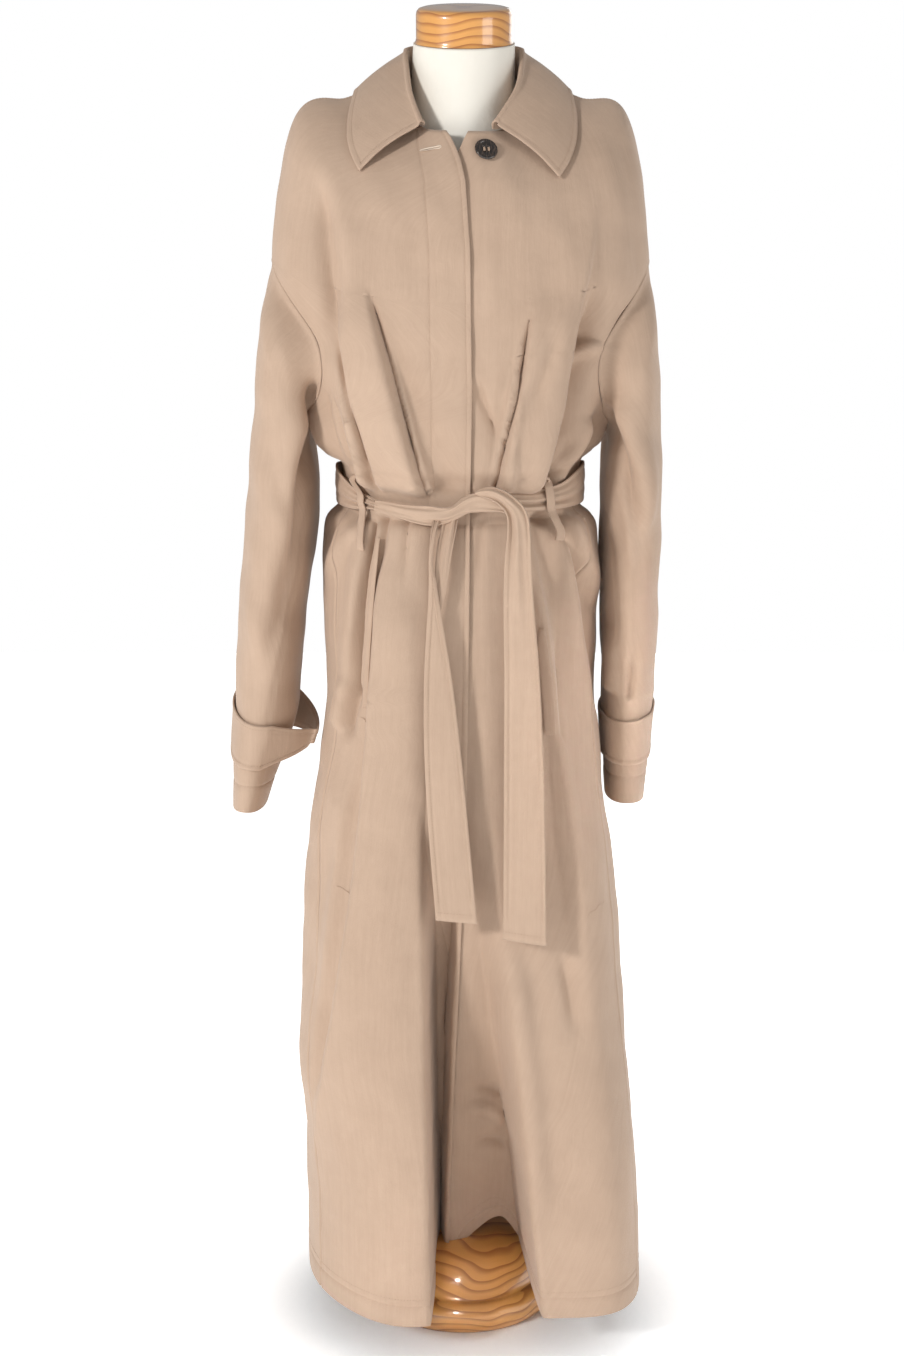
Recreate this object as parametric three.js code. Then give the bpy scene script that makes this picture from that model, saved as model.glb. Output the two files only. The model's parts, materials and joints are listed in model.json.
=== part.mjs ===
// A long belted trench coat worn by a limbless dress form, in millimetres.
// +Z is up, the coat faces -Y, and the origin is the centre of the stand's underside.
// "Right" and "left" are the wearer's: the right front buttons over the left one and lies at -X.
import * as THREE from "three";
import { mergeVertices } from "three/addons/utils/BufferGeometryUtils.js";

const CLOTH = 2; // thickness of a cloth wall
const SEAM = 0.3; // gap between two pieces that are sewn together
const LAP = 4; // how far the left front lies behind the right one
const LIFT = 0.4; // gap under a piece that lies on a panel

// A table is a list of rows with named columns.
function table(columns, rows) {
  const names = columns.split(" ");
  return rows.map((row) => Object.fromEntries(names.map((name, i) => [name, row[i]])));
}

const clamp = (x, low, high) => Math.min(high, Math.max(low, x));
const mix = (a, b, t) => a + (b - a) * t;
const radians = (degrees) => (degrees * Math.PI) / 180;

function smooth(from, to, x) {
  const t = clamp((x - from) / (to - from), 0, 1);
  return t * t * (3 - 2 * t);
}

// A smooth curve through one column of a table, at row number t, which may lie between rows.
function along(rows, name, t) {
  const i = clamp(Math.floor(t), 0, rows.length - 2);
  const at = (k) => rows[clamp(k, 0, rows.length - 1)][name];
  const f = t - i;
  const [a, b, c, d] = [at(i - 1), at(i), at(i + 1), at(i + 2)];
  return b + 0.5 * f * (c - a + f * (2 * a - 5 * b + 4 * c - d + f * (3 * (b - c) + d - a)));
}

// The coat's rings from the neckline to the hem. right and left are the half widths at -X and +X,
// front and back how far the ring reaches each way, and square is the power of its outline.
const RINGS = table("name side front_z back_z right left front back middle square dip", [
  ["neckline", 1424, 1358, 1434, 66, 64, 92, 60, 0, 2.0, 2.2],
  ["shoulder", 1406, 1306, 1404, 130, 127, 114, 92, 0, 2.1, 1.5],
  ["shoulder_end", 1386, 1250, 1330, 186, 181, 126, 110, 0, 2.2, 1.15],
  ["armhole_top", 1232, 1176, 1216, 213, 205, 134, 120, 0, 2.3, 1],
  ["chest", 1138, 1112, 1128, 186, 180, 138, 122, 0, 2.3, 1],
  ["armpit", 1042, 1052, 1046, 168, 158, 138, 118, 0, 2.2, 1],
  ["over_belt", 1022, 1003, 1026, 151, 144, 137, 110, 0, 2.2, 1],
  ["belt_top", 1006, 983, 1006, 138, 130, 128, 100, 0, 2.2, 1],
  ["belt_bottom", 962, 944, 960, 137, 129, 127, 99, 0, 2.2, 1],
  ["under_belt", 934, 926, 938, 155, 149, 133, 112, 0, 2.3, 1],
  ["hip", 850, 846, 856, 159, 151, 141, 130, 0, 2.4, 1],
  ["thigh", 750, 750, 756, 156, 149, 146, 142, 0, 2.4, 1],
  ["pocket", 655, 655, 658, 166, 152, 148, 150, 2, 2.4, 1],
  ["vent", 540, 540, 542, 181, 168, 152, 158, 6, 2.4, 1],
  ["knee", 420, 420, 422, 186, 177, 157, 168, 10, 2.4, 1],
  ["calf", 295, 295, 297, 186, 183, 163, 178, 14, 2.4, 1],
  ["shin", 170, 170, 172, 185, 184, 168, 186, 18, 2.4, 1],
  ["hem", 54, 46, 58, 184, 184, 172, 190, 20, 2.4, 1],
]);
const RING_NAMES = "side front_z back_z right left front back middle square dip".split(" ");
const ARMHOLE_TOP = 3; // row numbers in RINGS
const ARMPIT = 5;
const BELT = 7.5;
const HEM = RINGS.length - 1;
const ARMHOLE_WIDTH = 36; // half its width, in degrees round the body
const SEAM_TURN = 30; // how far forward of the side the long seams run, in degrees

// The heights, as row numbers, at which every panel has a row of points.
function steps(...stops) {
  const list = [stops[0]];
  for (let k = 1; k < stops.length; k += 2) {
    const from = list[list.length - 1];
    for (let i = 1; i <= stops[k]; i++) list.push(mix(from, stops[k + 1], i / stops[k]));
  }
  return list;
}
const ROWS = steps(0, 6, ARMHOLE_TOP, 10, ARMPIT, 8, ARMPIT + 4, 13, HEM);

// Folds of the cloth. A fold runs from x0 at z0 down to x1 at z1 on the front or back, with its middle
// moved by bow. It stands out by height (or in, below 0), over plus on its +X side and minus on its -X
// side, and grows and dies over fade0 and fade1.
const FOLDS = table("name face x0 z0 x1 z1 bow height plus minus fade0 fade1", [
  ["right_chest_pleat", 1, -97, 1168, -33, 945, 3, 11, 5, 44, 90, 12],
  ["right_shoulder_pleat", 1, -152, 1330, -84, 945, -10, 12, 34, 6, 200, 12],
  ["right_side_pleat", 1, -150, 1110, -112, 955, -4, 7, 10, 22, 60, 20],
  ["left_chest_pleat", 1, 78, 1195, 28, 950, -3, 12, 40, 5, 90, 12],
  ["left_shoulder_pleat", 1, 142, 1300, 66, 950, 6, 15, 5, 34, 160, 12],
  ["left_under_placket", 1, 14, 1100, 46, 985, 0, -4, 20, 12, 50, 40],
  ["left_armpit_hollow", 1, 122, 1230, 104, 1060, 6, -10, 16, 14, 90, 70],
  ["right_armpit_hollow", 1, -146, 1260, -132, 1090, 0, -8, 14, 14, 120, 80],
  ["right_pocket_fold", 1, -86, 935, -176, 170, 22, 20, 60, 7, 120, 200],
  ["left_pocket_fold", 1, 72, 935, 134, 330, 6, 20, 46, 9, 120, 260],
  ["right_flare", 1, -72, 800, -74, 30, 0, 14, 40, 56, 500, 1],
  ["left_flare", 1, 126, 640, 150, 30, 0, 44, 44, 38, 520, 1],
  ["left_side_hollow", 1, 128, 925, 152, 700, 0, -10, 14, 12, 90, 150],
  ["back_centre_hollow", 0, 4, 860, 8, 30, 0, -16, 34, 34, 420, 1],
  ["back_right_fold", 0, -66, 940, -104, 30, -6, 20, 40, 30, 420, 1],
  ["back_left_fold", 0, 74, 940, 112, 30, 5, 22, 32, 42, 420, 1],
  ["back_right_pleat", 0, -92, 1190, -48, 950, 0, 10, 10, 36, 120, 12],
  ["back_left_pleat", 0, 98, 1180, 42, 950, 0, 11, 38, 10, 120, 12],
  ["back_middle_pleat", 0, 6, 1120, -4, 950, 0, 7, 22, 22, 90, 12],
]);

// Below the last button the two fronts part: they swing out as two flares with a deep hollow between.
const OPENING = {
  top: 640, // the hollow starts here
  foot: 40,
  depth: 142, // at the hem
  right_x: -37, // where the right front turns in
  right_turn: 8, // over this width
  left_x0: 34, // where the left front comes out, at the top and at the hem
  left_x1: 92,
  left_turn0: 40,
  left_turn1: 26,
  hem_rise: 58, // how much higher the left front's hem hangs in the hollow
  right_rise: 38, // and the right front's turned-in edge
};

// The drawn-in waist: the belt presses every fold nearly flat at its own height.
const CINCH = { height: 32, share: 0.96 };
const GATHER = { count: 15, height: 3.2, reach: 70 };

// How deep the hollow of the front opening is at x, from 0 to 1.
function openingShape(x, down) {
  const o = OPENING;
  const left = mix(o.left_x0, o.left_x1, down);
  const turn = mix(o.left_turn0, o.left_turn1, down);
  const inRight = smooth(o.right_x, o.right_x + o.right_turn, x);
  return inRight * (1 - smooth(left - turn, left, x));
}

function foldHeight(fold, x, z) {
  const t = (fold.z0 - z) / (fold.z0 - fold.z1);
  if (t <= 0 || t >= 1) return 0;
  const middle = mix(fold.x0, fold.x1, t) + 4 * fold.bow * t * (1 - t);
  const d = (x - middle) / (x > middle ? fold.plus : fold.minus);
  const grow = smooth(0, fold.fade0, fold.z0 - z) * smooth(0, fold.fade1, z - fold.z1);
  return fold.height * grow * Math.exp(-d * d);
}

// How far the cloth stands off its ring at angle phi from the centre front.
function drape(phi, x, z) {
  const face = Math.cos(radians(phi)) > 0 ? 1 : 0;
  const edge = smooth(0, 0.35, Math.abs(Math.cos(radians(phi))));
  let sum = 0;
  for (const fold of FOLDS) {
    if (fold.face === face) sum += foldHeight(fold, x, z) * edge;
  }
  const belt = mix(along(RINGS, "side", BELT), along(RINGS, face ? "front_z" : "back_z", BELT), Math.abs(Math.cos(radians(phi))));
  const near = (z - belt) / GATHER.reach;
  const wave = Math.sin(radians(phi * GATHER.count)) + 0.5 * Math.sin(radians(phi * 23 + 40));
  sum += GATHER.height * wave * Math.exp(-near * near);
  sum *= 1 - CINCH.share * Math.exp(-(((z - belt) / CINCH.height) ** 4));
  if (face) {
    const down = clamp((OPENING.top - z) / (OPENING.top - OPENING.foot), 0, 1);
    sum -= OPENING.depth * down ** 1.25 * openingShape(x, down);
  }
  return sum;
}

function ringAt(v) {
  return Object.fromEntries(RING_NAMES.map((name) => [name, along(RINGS, name, v)]));
}

// A point of a ring at angle phi from the centre front, in degrees towards +X, and its way out.
function ringPoint(ring, phi) {
  const s = Math.sin(radians(phi));
  const c = Math.cos(radians(phi));
  const power = 2 / ring.square;
  const half = s < 0 ? ring.right : ring.left;
  const deep = c > 0 ? ring.front + ring.middle : ring.back - ring.middle;
  const fall = 1 - (1 - Math.abs(c) ** 1.4) ** ring.dip;
  const p = new THREE.Vector3(
    half * Math.sign(s) * Math.abs(s) ** power,
    ring.middle - deep * Math.sign(c) * Math.abs(c) ** power,
    ring.side + ((c > 0 ? ring.front_z : ring.back_z) - ring.side) * fall,
  );
  const n = new THREE.Vector3(
    (Math.sign(s) * Math.abs(s) ** (2 - power)) / half,
    (-Math.sign(c) * Math.abs(c) ** (2 - power)) / deep,
    0,
  ).normalize();
  return { p, n };
}

// A point of the coat's inner side, on the ring with row number v.
function coatPoint(phi, v, rise = OPENING.hem_rise) {
  const { p, n } = ringPoint(ringAt(v), phi);
  const { x, z } = p;
  p.addScaledVector(n, drape(phi, x, z));
  if (Math.cos(radians(phi)) > 0 && v > BELT) {
    const down = clamp((OPENING.top - z) / (OPENING.top - OPENING.foot), 0, 1);
    p.z += rise * down ** 3 * openingShape(x, down);
  }
  return p;
}

// The way out of the coat at one point.
function coatNormal(phi, v) {
  const at = clamp(v, 0.03, HEM - 0.03);
  const round = coatPoint(phi + 0.2, at).sub(coatPoint(phi - 0.2, at));
  const down = coatPoint(phi, at + 0.03).sub(coatPoint(phi, at - 0.03));
  return down.cross(round).normalize();
}

// The way out of each point of a grid, from its neighbours. side is 1 or -1.
function withNormals(points, side, closed = false) {
  const rows = points.length;
  const columns = points[0].length;
  return points.map((row, i) =>
    row.map((p, j) => {
      const up = points[Math.max(i - 1, 0)][j];
      const down = points[Math.min(i + 1, rows - 1)][j];
      const before = closed ? row[(j + columns - 1) % columns] : row[Math.max(j - 1, 0)];
      const after = closed ? row[(j + 1) % columns] : row[Math.min(j + 1, columns - 1)];
      const n = down.clone().sub(up).cross(after.clone().sub(before)).normalize();
      return { p, n: n.multiplyScalar(side) };
    }),
  );
}

// A cloth wall: grid[i][j] holds {p, n}, a point of the inner side and the way out from it.
function wall(grid, closed = false, thickness = CLOTH) {
  const rows = grid.length;
  const columns = grid[0].length;
  const positions = [];
  for (const out of [thickness, 0]) {
    for (const row of grid) {
      for (const { p, n } of row) positions.push(p.x + n.x * out, p.y + n.y * out, p.z + n.z * out);
    }
  }
  const index = [];
  const inner = rows * columns;
  const at = (i, j) => i * columns + (j % columns);
  const quad = (a, b, c, d) => index.push(a, b, c, a, c, d);
  const last = closed ? columns : columns - 1;
  for (let i = 0; i < rows - 1; i++) {
    for (let j = 0; j < last; j++) {
      quad(at(i, j), at(i + 1, j), at(i + 1, j + 1), at(i, j + 1));
      quad(inner + at(i, j), inner + at(i, j + 1), inner + at(i + 1, j + 1), inner + at(i + 1, j));
    }
  }
  for (let j = 0; j < last; j++) {
    const k = rows - 1;
    // Along a seam both pieces split this face from the lower outer corner, so that they stay parallel.
    const [a, b, c, d] = [at(0, j), at(0, j + 1), inner + at(0, j + 1), inner + at(0, j)];
    const falls = grid[0][(j + 1) % columns].p.z < grid[0][j].p.z;
    if (falls) quad(b, c, d, a);
    else quad(a, b, c, d);
    quad(at(k, j + 1), at(k, j), inner + at(k, j), inner + at(k, j + 1));
  }
  if (!closed) {
    for (let i = 0; i < rows - 1; i++) {
      const j = columns - 1;
      quad(at(i + 1, 0), at(i, 0), inner + at(i, 0), inner + at(i + 1, 0));
      quad(at(i + 1, j), inner + at(i + 1, j), inner + at(i, j), at(i, j));
    }
  }
  const geometry = new THREE.BufferGeometry();
  geometry.setAttribute("position", new THREE.Float32BufferAttribute(positions, 3));
  geometry.setIndex(index);
  return geometry;
}

// A solid lofted through closed rings of points, with flat ends.
function loft(rings) {
  const count = rings[0].length;
  const positions = [];
  for (const ring of rings) for (const p of ring) positions.push(p.x, p.y, p.z);
  const index = [];
  for (let i = 0; i < rings.length - 1; i++) {
    for (let j = 0; j < count; j++) {
      const a = i * count + j;
      const b = i * count + ((j + 1) % count);
      index.push(a, a + count, b + count, a, b + count, b);
    }
  }
  for (const end of [0, rings.length - 1]) {
    const centre = new THREE.Vector3();
    for (const p of rings[end]) centre.addScaledVector(p, 1 / count);
    const middle = positions.length / 3;
    positions.push(centre.x, centre.y, centre.z);
    for (let j = 0; j < count; j++) {
      const a = end * count + j;
      const b = end * count + ((j + 1) % count);
      if (end === 0) index.push(middle, a, b);
      else index.push(middle, b, a);
    }
  }
  const geometry = new THREE.BufferGeometry();
  geometry.setAttribute("position", new THREE.Float32BufferAttribute(positions, 3));
  geometry.setIndex(index);
  return geometry;
}

// Evenly spaced angles between two edges of a panel, measured along the draped cloth.
function evenAngles(from, to, v, intervals) {
  const fine = 300;
  const lengths = [0];
  let before = coatPoint(from, v);
  for (let k = 1; k <= fine; k++) {
    const here = coatPoint(mix(from, to, k / fine), v);
    lengths.push(lengths[k - 1] + here.distanceTo(before));
    before = here;
  }
  const angles = [from];
  let k = 0;
  for (let j = 1; j < intervals; j++) {
    const want = (lengths[fine] * j) / intervals;
    while (k < fine - 1 && lengths[k + 1] < want) k++;
    const part = (want - lengths[k]) / (lengths[k + 1] - lengths[k]);
    angles.push(mix(from, to, (k + part) / fine));
  }
  return [...angles, to];
}

// Half the armhole's width at v, in degrees: an oval between its top and the armpit.
function armholeWidth(v) {
  const t = (v - (ARMHOLE_TOP + ARMPIT) / 2) / ((ARMPIT - ARMHOLE_TOP) / 2);
  return Math.abs(t) >= 1 ? 0 : ARMHOLE_WIDTH * (1 - t * t) ** (t > 0 ? 0.5 + 0.4 * t : 0.5);
}

// The angle of the seam between front and back: the shoulder seam, the armhole's edge, the long seam.
function seamAngle(v) {
  return 90 - SEAM_TURN * smooth(ARMPIT, ARMPIT + 4.5, v);
}
// The angle that lies half a seam's gap away from phi. way is 1 or -1.
function awayFrom(phi, v, way) {
  const start = coatPoint(phi, v);
  let near = 0;
  let far = 0.5;
  for (let k = 0; k < 16; k++) {
    const middle = (near + far) / 2;
    if (coatPoint(phi + way * middle, v).distanceTo(start) < SEAM / 2) near = middle;
    else far = middle;
  }
  return phi + way * far;
}
const frontSeam = (v, sign) => awayFrom(sign * (seamAngle(v) - armholeWidth(v)), v, -sign);
const backSeam = (v, sign) => awayFrom(sign * (seamAngle(v) + armholeWidth(v)), v, sign);

// Where the right front's edge lies across the centre, in mm, from the neck corner to the hem, and how
// far the left front reaches under it.
const EDGES = table("z x under", [
  [1360, -20, 14],
  [1333, -6, 28],
  [1303, 1, 38],
  [1231, 6, 44],
  [1074, 8, 44],
  [904, 6, 42],
  [751, 4, 38],
  [640, 2, 32],
  [504, -2, 23],
  [322, -10, 15],
  [46, -19, 8],
]);
function edgeColumn(name, z) {
  let row = 0;
  while (row < EDGES.length - 2 && EDGES[row + 1].z > z) row++;
  const [a, b] = [EDGES[row], EDGES[row + 1]];
  return mix(a[name], b[name], clamp((a.z - z) / (a.z - b.z), 0, 1));
}
// The angle at which a ring passes x, near the centre front.
function angleAtX(x, v) {
  const half = along(RINGS, x < 0 ? "right" : "left", v);
  const power = along(RINGS, "square", v) / 2;
  return (Math.sign(x) * Math.asin(Math.abs(x / half) ** power) * 180) / Math.PI;
}
const UNDER = 2; // columns in the overlap of the two fronts

// The angles of the panels' columns in one row.
function frontAngles(v) {
  const z = along(RINGS, "front_z", v);
  const edge = edgeColumn("x", z);
  const lap = angleAtX(edge, v);
  const under = angleAtX(edge - edgeColumn("under", z), v);
  const overlap = evenAngles(under, lap, v, UNDER);
  return {
    right: [...evenAngles(frontSeam(v, -1), under, v, 13), ...overlap.slice(1)],
    left: [...overlap, ...evenAngles(lap, frontSeam(v, 1), v, 13).slice(1)],
    back: evenAngles(backSeam(v, 1), 360 + backSeam(v, -1), v, 19),
  };
}

// The way out at a seam, shared by the pieces that meet there. face is 1 on the front's side of the
// armhole and -1 on the back's. At the armpit body and sleeve fold away from one another, downwards.
function seamNormal(sign, face, v) {
  const n = coatNormal(sign * (seamAngle(v) - face * armholeWidth(v)), v);
  const fold = 0.85 * smooth(ARMHOLE_TOP + 1, ARMPIT, v) * smooth(ARMPIT + 0.5, ARMPIT, v);
  return n.lerp(new THREE.Vector3(0, 0, -1), fold).normalize();
}

const root = new THREE.Group();

const coatMaterial = new THREE.MeshStandardMaterial({ color: 0xc4a88f, roughness: 0.85, metalness: 0 });
const buttonMaterial = new THREE.MeshStandardMaterial({ color: 0x2a2422, roughness: 0.3, metalness: 0 });
const linenMaterial = new THREE.MeshStandardMaterial({ color: 0xf0e9dc, roughness: 0.95, metalness: 0 });
const woodMaterial = new THREE.MeshStandardMaterial({ color: 0xd9a65e, roughness: 0.3, metalness: 0 });
const poleMaterial = new THREE.MeshStandardMaterial({ color: 0xb9bbbd, roughness: 0.35, metalness: 0.9 });

function add(name, geometry, material) {
  const mesh = new THREE.Mesh(geometry, material.clone());
  mesh.name = name;
  root.add(mesh);
  return mesh;
}

const ANGLES = ROWS.map(frontAngles);
const PANELS = {};
for (const [name, rise] of [["right", OPENING.right_rise], ["left", OPENING.hem_rise], ["back", 0]]) {
  const points = ROWS.map((v, i) => ANGLES[i][name].map((phi) => coatPoint(phi, v, rise)));
  PANELS[name] = withNormals(points, 1);
  ROWS.forEach((v, i) => {
    const row = PANELS[name][i];
    if (name !== "left") row[0].n = seamNormal(name === "right" ? -1 : 1, name === "right" ? 1 : -1, v);
    if (name !== "right") row[row.length - 1].n = seamNormal(name === "left" ? 1 : -1, name === "left" ? 1 : -1, v);
  });
}
// The left front's overlap lies behind the right front.
PANELS.left.forEach((row, i) => {
  for (let j = 0; j <= UNDER; j++) {
    const over = PANELS.right[i][PANELS.right[i].length - 1 - UNDER + j];
    row[j] = { p: over.p.clone().addScaledVector(over.n, -LAP), n: over.n };
  }
});
add("front_right", wall(PANELS.right), coatMaterial);
add("front_left", wall(PANELS.left), coatMaterial);
add("back", wall(PANELS.back), coatMaterial);

// The sleeves' rings from below the armhole to the cuff, for each side: how far out their outer and
// inner edges lie and how high, and how far they reach to the front and back.
const SLEEVE_COLUMNS = "outer outer_z inner inner_z front back";
const SLEEVES = {
  right: table(SLEEVE_COLUMNS, [
    [213, 1232, 168, 1040, 84, 74],
    [222, 1196, 174, 1026, 86, 78],
    [229, 1136, 170, 998, 88, 80],
    [235, 1060, 168, 956, 88, 80],
    [243, 975, 173, 905, 86, 78],
    [252, 880, 183, 838, 82, 74],
    [258, 788, 190, 770, 78, 70],
    [262, 716, 197, 708, 74, 66],
    [265, 660, 205, 656, 70, 62],
    [265, 612, 214, 610, 67, 60],
  ]),
  left: table(SLEEVE_COLUMNS, [
    [205, 1232, 158, 1040, 84, 74],
    [210, 1196, 164, 1026, 86, 78],
    [216, 1136, 161, 998, 88, 80],
    [220, 1068, 159, 956, 88, 80],
    [221, 985, 159, 905, 84, 76],
    [221, 890, 160, 838, 80, 72],
    [221, 796, 162, 775, 76, 68],
    [215, 724, 163, 716, 72, 64],
    [211, 668, 165, 664, 68, 60],
    [207, 622, 168, 620, 65, 58],
  ]),
};
const SLEEVE_ROWS = 19;
const ROUND = 20; // columns round a sleeve: its points on the armhole are the panels' own

// A point of a sleeve: turn is the angle round from its outer edge, forwards first, and s the row.
function sleevePoint(side, turn, s) {
  const sign = side === "right" ? -1 : 1;
  const rows = SLEEVES[side];
  const c = Math.cos(turn);
  const k = Math.sin(turn);
  const get = (name) => along(rows, name, s);
  const power = mix(0.62, 0.9, smooth(1, 3.5, s));
  const t = (1 - Math.sign(c) * Math.abs(c) ** 0.9) / 2;
  const round = new THREE.Vector3(
    sign * mix(get("outer"), get("inner"), t),
    k > 0 ? -get("front") * k ** power : get("back") * Math.abs(k) ** power,
    mix(get("outer_z"), get("inner_z"), t),
  );
  if (s >= 1.7) return round;
  // It leaves the armhole along the body's surface, further at the top than under the arm.
  const { p, n, inwards } = armholeEdge(sign, turn);
  p.addScaledVector(inwards, s * mix(7, 22, (1 + c) / 2)).addScaledVector(n, 2 * s * s);
  return p.lerp(round, smooth(0.2, 1.7, s));
}

const armholeRow = (turn) => mix(ARMHOLE_TOP, ARMPIT, 1 - Math.abs(1 - turn / Math.PI));
function armholePoint(sign, turn) {
  const round = (turn + 2 * Math.PI) % (2 * Math.PI);
  const v = armholeRow(round);
  return coatPoint(sign * (90 - (round < Math.PI ? 1 : -1) * armholeWidth(v)), v);
}

// The sleeve's side of the armhole's seam, a gap away from the panels' edges.
function armholeEdge(sign, turn) {
  const v = armholeRow(turn);
  const n = seamNormal(sign, turn < Math.PI ? 1 : -1, v);
  const edge = armholePoint(sign, turn + 0.1).sub(armholePoint(sign, turn - 0.1));
  const inwards = edge.cross(n).multiplyScalar(-sign).normalize();
  return { p: armholePoint(sign, turn).addScaledVector(inwards, 1.6 * SEAM), n, inwards };
}

function sleeveGrid(side) {
  const sign = side === "right" ? -1 : 1;
  const rows = [];
  for (let i = 0; i < SLEEVE_ROWS; i++) {
    const s = ((SLEEVES[side].length - 1) * i) / (SLEEVE_ROWS - 1);
    const row = [];
    for (let j = 0; j < ROUND; j++) row.push(sleevePoint(side, (2 * Math.PI * j) / ROUND, s));
    rows.push(row);
  }
  const grid = withNormals(rows, -sign, true);
  grid[0].forEach((point, j) => {
    point.n = armholeEdge(sign, (2 * Math.PI * j) / ROUND).n;
  });
  return sign < 0 ? grid : grid.map((row) => [row[0], ...row.slice(1).reverse()]);
}
const SLEEVE_GRIDS = { right: sleeveGrid("right"), left: sleeveGrid("left") };
for (const side of ["right", "left"]) add("sleeve_" + side, wall(SLEEVE_GRIDS[side], true), coatMaterial);

// The point of the front that lies at x and z, and the way out there.
function onFront(x, z, off) {
  let phi = x / 2.4;
  let v = 8;
  for (let k = 0; k < 14; k++) {
    const here = coatPoint(phi, v);
    const round = (coatPoint(phi + 0.5, v).x - here.x) / 0.5;
    const down = (coatPoint(phi, v + 0.05).z - here.z) / 0.05;
    phi += clamp((x - here.x) / Math.max(round, 0.5), -12, 12);
    v = clamp(v + clamp((z - here.z) / down, -1, 1), 0, HEM);
  }
  return coatPoint(phi, v).addScaledVector(coatNormal(phi, v), off);
}

// The collar: a stand that rises from the neckline and a fall that turns over it onto the shoulders.
// Stations run from one front end round the back. fold is where it turns over and outer the edge of the
// fall, given by its angle and row on the coat.
const COLLAR = table("turn fold_x fold_y fold_z outer_turn outer_row", [
  [41, 44, -89, 1368, 43.5, 1.46],
  [52, 50, -80, 1384, 57, 1.28],
  [66, 57, -62, 1408, 70, 1.06],
  [80, 60, -34, 1434, 81, 0.9],
  [92, 62, -8, 1453, 92, 0.84],
  [112, 59, 22, 1464, 112, 0.9],
  [145, 38, 49, 1470, 145, 1.04],
  [180, 0, 60, 1472, 180, 1.1],
]);
const COLLAR_COLUMNS = 29;
const COLLAR_ROLL = 3; // half the space between stand and fall at the fold
const COLLAR_LIFT = 2.2; // how far the fall's edge lies off the coat

function collarStation(t) {
  const last = COLLAR.length - 1;
  const sign = t < last ? -1 : 1;
  const row = t < last ? t : 2 * last - t;
  const get = (name) => along(COLLAR, name, row);
  // The left end sits a little nearer the centre, where the buttonhole end of the neckline is.
  const slip = sign > 0 ? 13 * (1 - smooth(0, 3, row)) : 0;
  const neck = coatPoint(sign * (get("turn") - slip), 0);
  neck.addScaledVector(coatNormal(sign * (get("turn") - slip), 0), CLOTH - 0.3);
  neck.z += 1.2;
  const fold = new THREE.Vector3(sign * (get("fold_x") - slip), get("fold_y"), get("fold_z"));
  const edge = coatPoint(sign * (get("outer_turn") - slip / 3), get("outer_row"));
  edge.addScaledVector(coatNormal(sign * (get("outer_turn") - slip / 3), get("outer_row")), CLOTH + COLLAR_LIFT);
  const out = edge.clone().sub(fold).setZ(0).normalize();
  const over = fold.clone().addScaledVector(out, 2 * COLLAR_ROLL);
  over.z -= 5;
  const top = fold.clone().addScaledVector(out, COLLAR_ROLL);
  const inside = neck.clone().lerp(fold, 0.72);
  const at = (share, bulge) => {
    const p = over.clone().lerp(edge, share);
    p.addScaledVector(out, bulge);
    p.z += bulge * 0.8;
    return p;
  };
  return [neck, neck.clone().lerp(inside, 0.5), inside, top, over, at(0.3, 2.5), at(0.62, 3), edge];
}

function addCollar() {
  const columns = [];
  const last = 2 * (COLLAR.length - 1);
  for (let j = COLLAR_COLUMNS - 1; j >= 0; j--) columns.push(collarStation((last * j) / (COLLAR_COLUMNS - 1)));
  const points = columns[0].map((_, i) => columns.map((column) => column[i]));
  add("collar", wall(withNormals(points, 1)), coatMaterial);
}
addCollar();

// The belt runs round the waist at its own height and width, narrower where it is drawn together.
const BELT_RUN = table("phi z width", [
  [10.2, 969, 22],
  [32, 967, 23],
  [48, 970, 27],
  [66, 978, 38],
  [90, 984, 43],
  [135, 983, 44],
  [180, 982, 44],
  [225, 982, 44],
  [270, 982, 43],
  [292, 974, 34],
  [306, 967, 22],
  [322, 962, 19],
  [348.5, 957, 22],
]);
const BELT_OFF = 7.3; // from the inside of the coat, with its gathers below
const BELT_COLUMNS = 45;
const BELT_HALF_ROWS = 3;

// A point of the belt, with share from -1 at its lower edge to 1 at its upper edge.
function beltPoint(t, share, off) {
  const phi = along(BELT_RUN, "phi", t);
  const { p, n } = ringPoint(ringAt(BELT), phi);
  p.addScaledVector(n, off + 1.2 * (1 - share * share));
  p.z = along(BELT_RUN, "z", t) + (share * along(BELT_RUN, "width", t)) / 2;
  return p;
}
function addBelt() {
  const points = [];
  for (let i = 0; i < BELT_HALF_ROWS; i++) {
    const share = 1 - (2 * i) / (BELT_HALF_ROWS - 1);
    const row = [];
    for (let j = 0; j < BELT_COLUMNS; j++) {
      row.push(beltPoint(((BELT_RUN.length - 1) * j) / (BELT_COLUMNS - 1), share, BELT_OFF));
    }
    points.push(row);
  }
  add("belt_band", wall(withNormals(points, 1)), coatMaterial);
}
addBelt();

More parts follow.
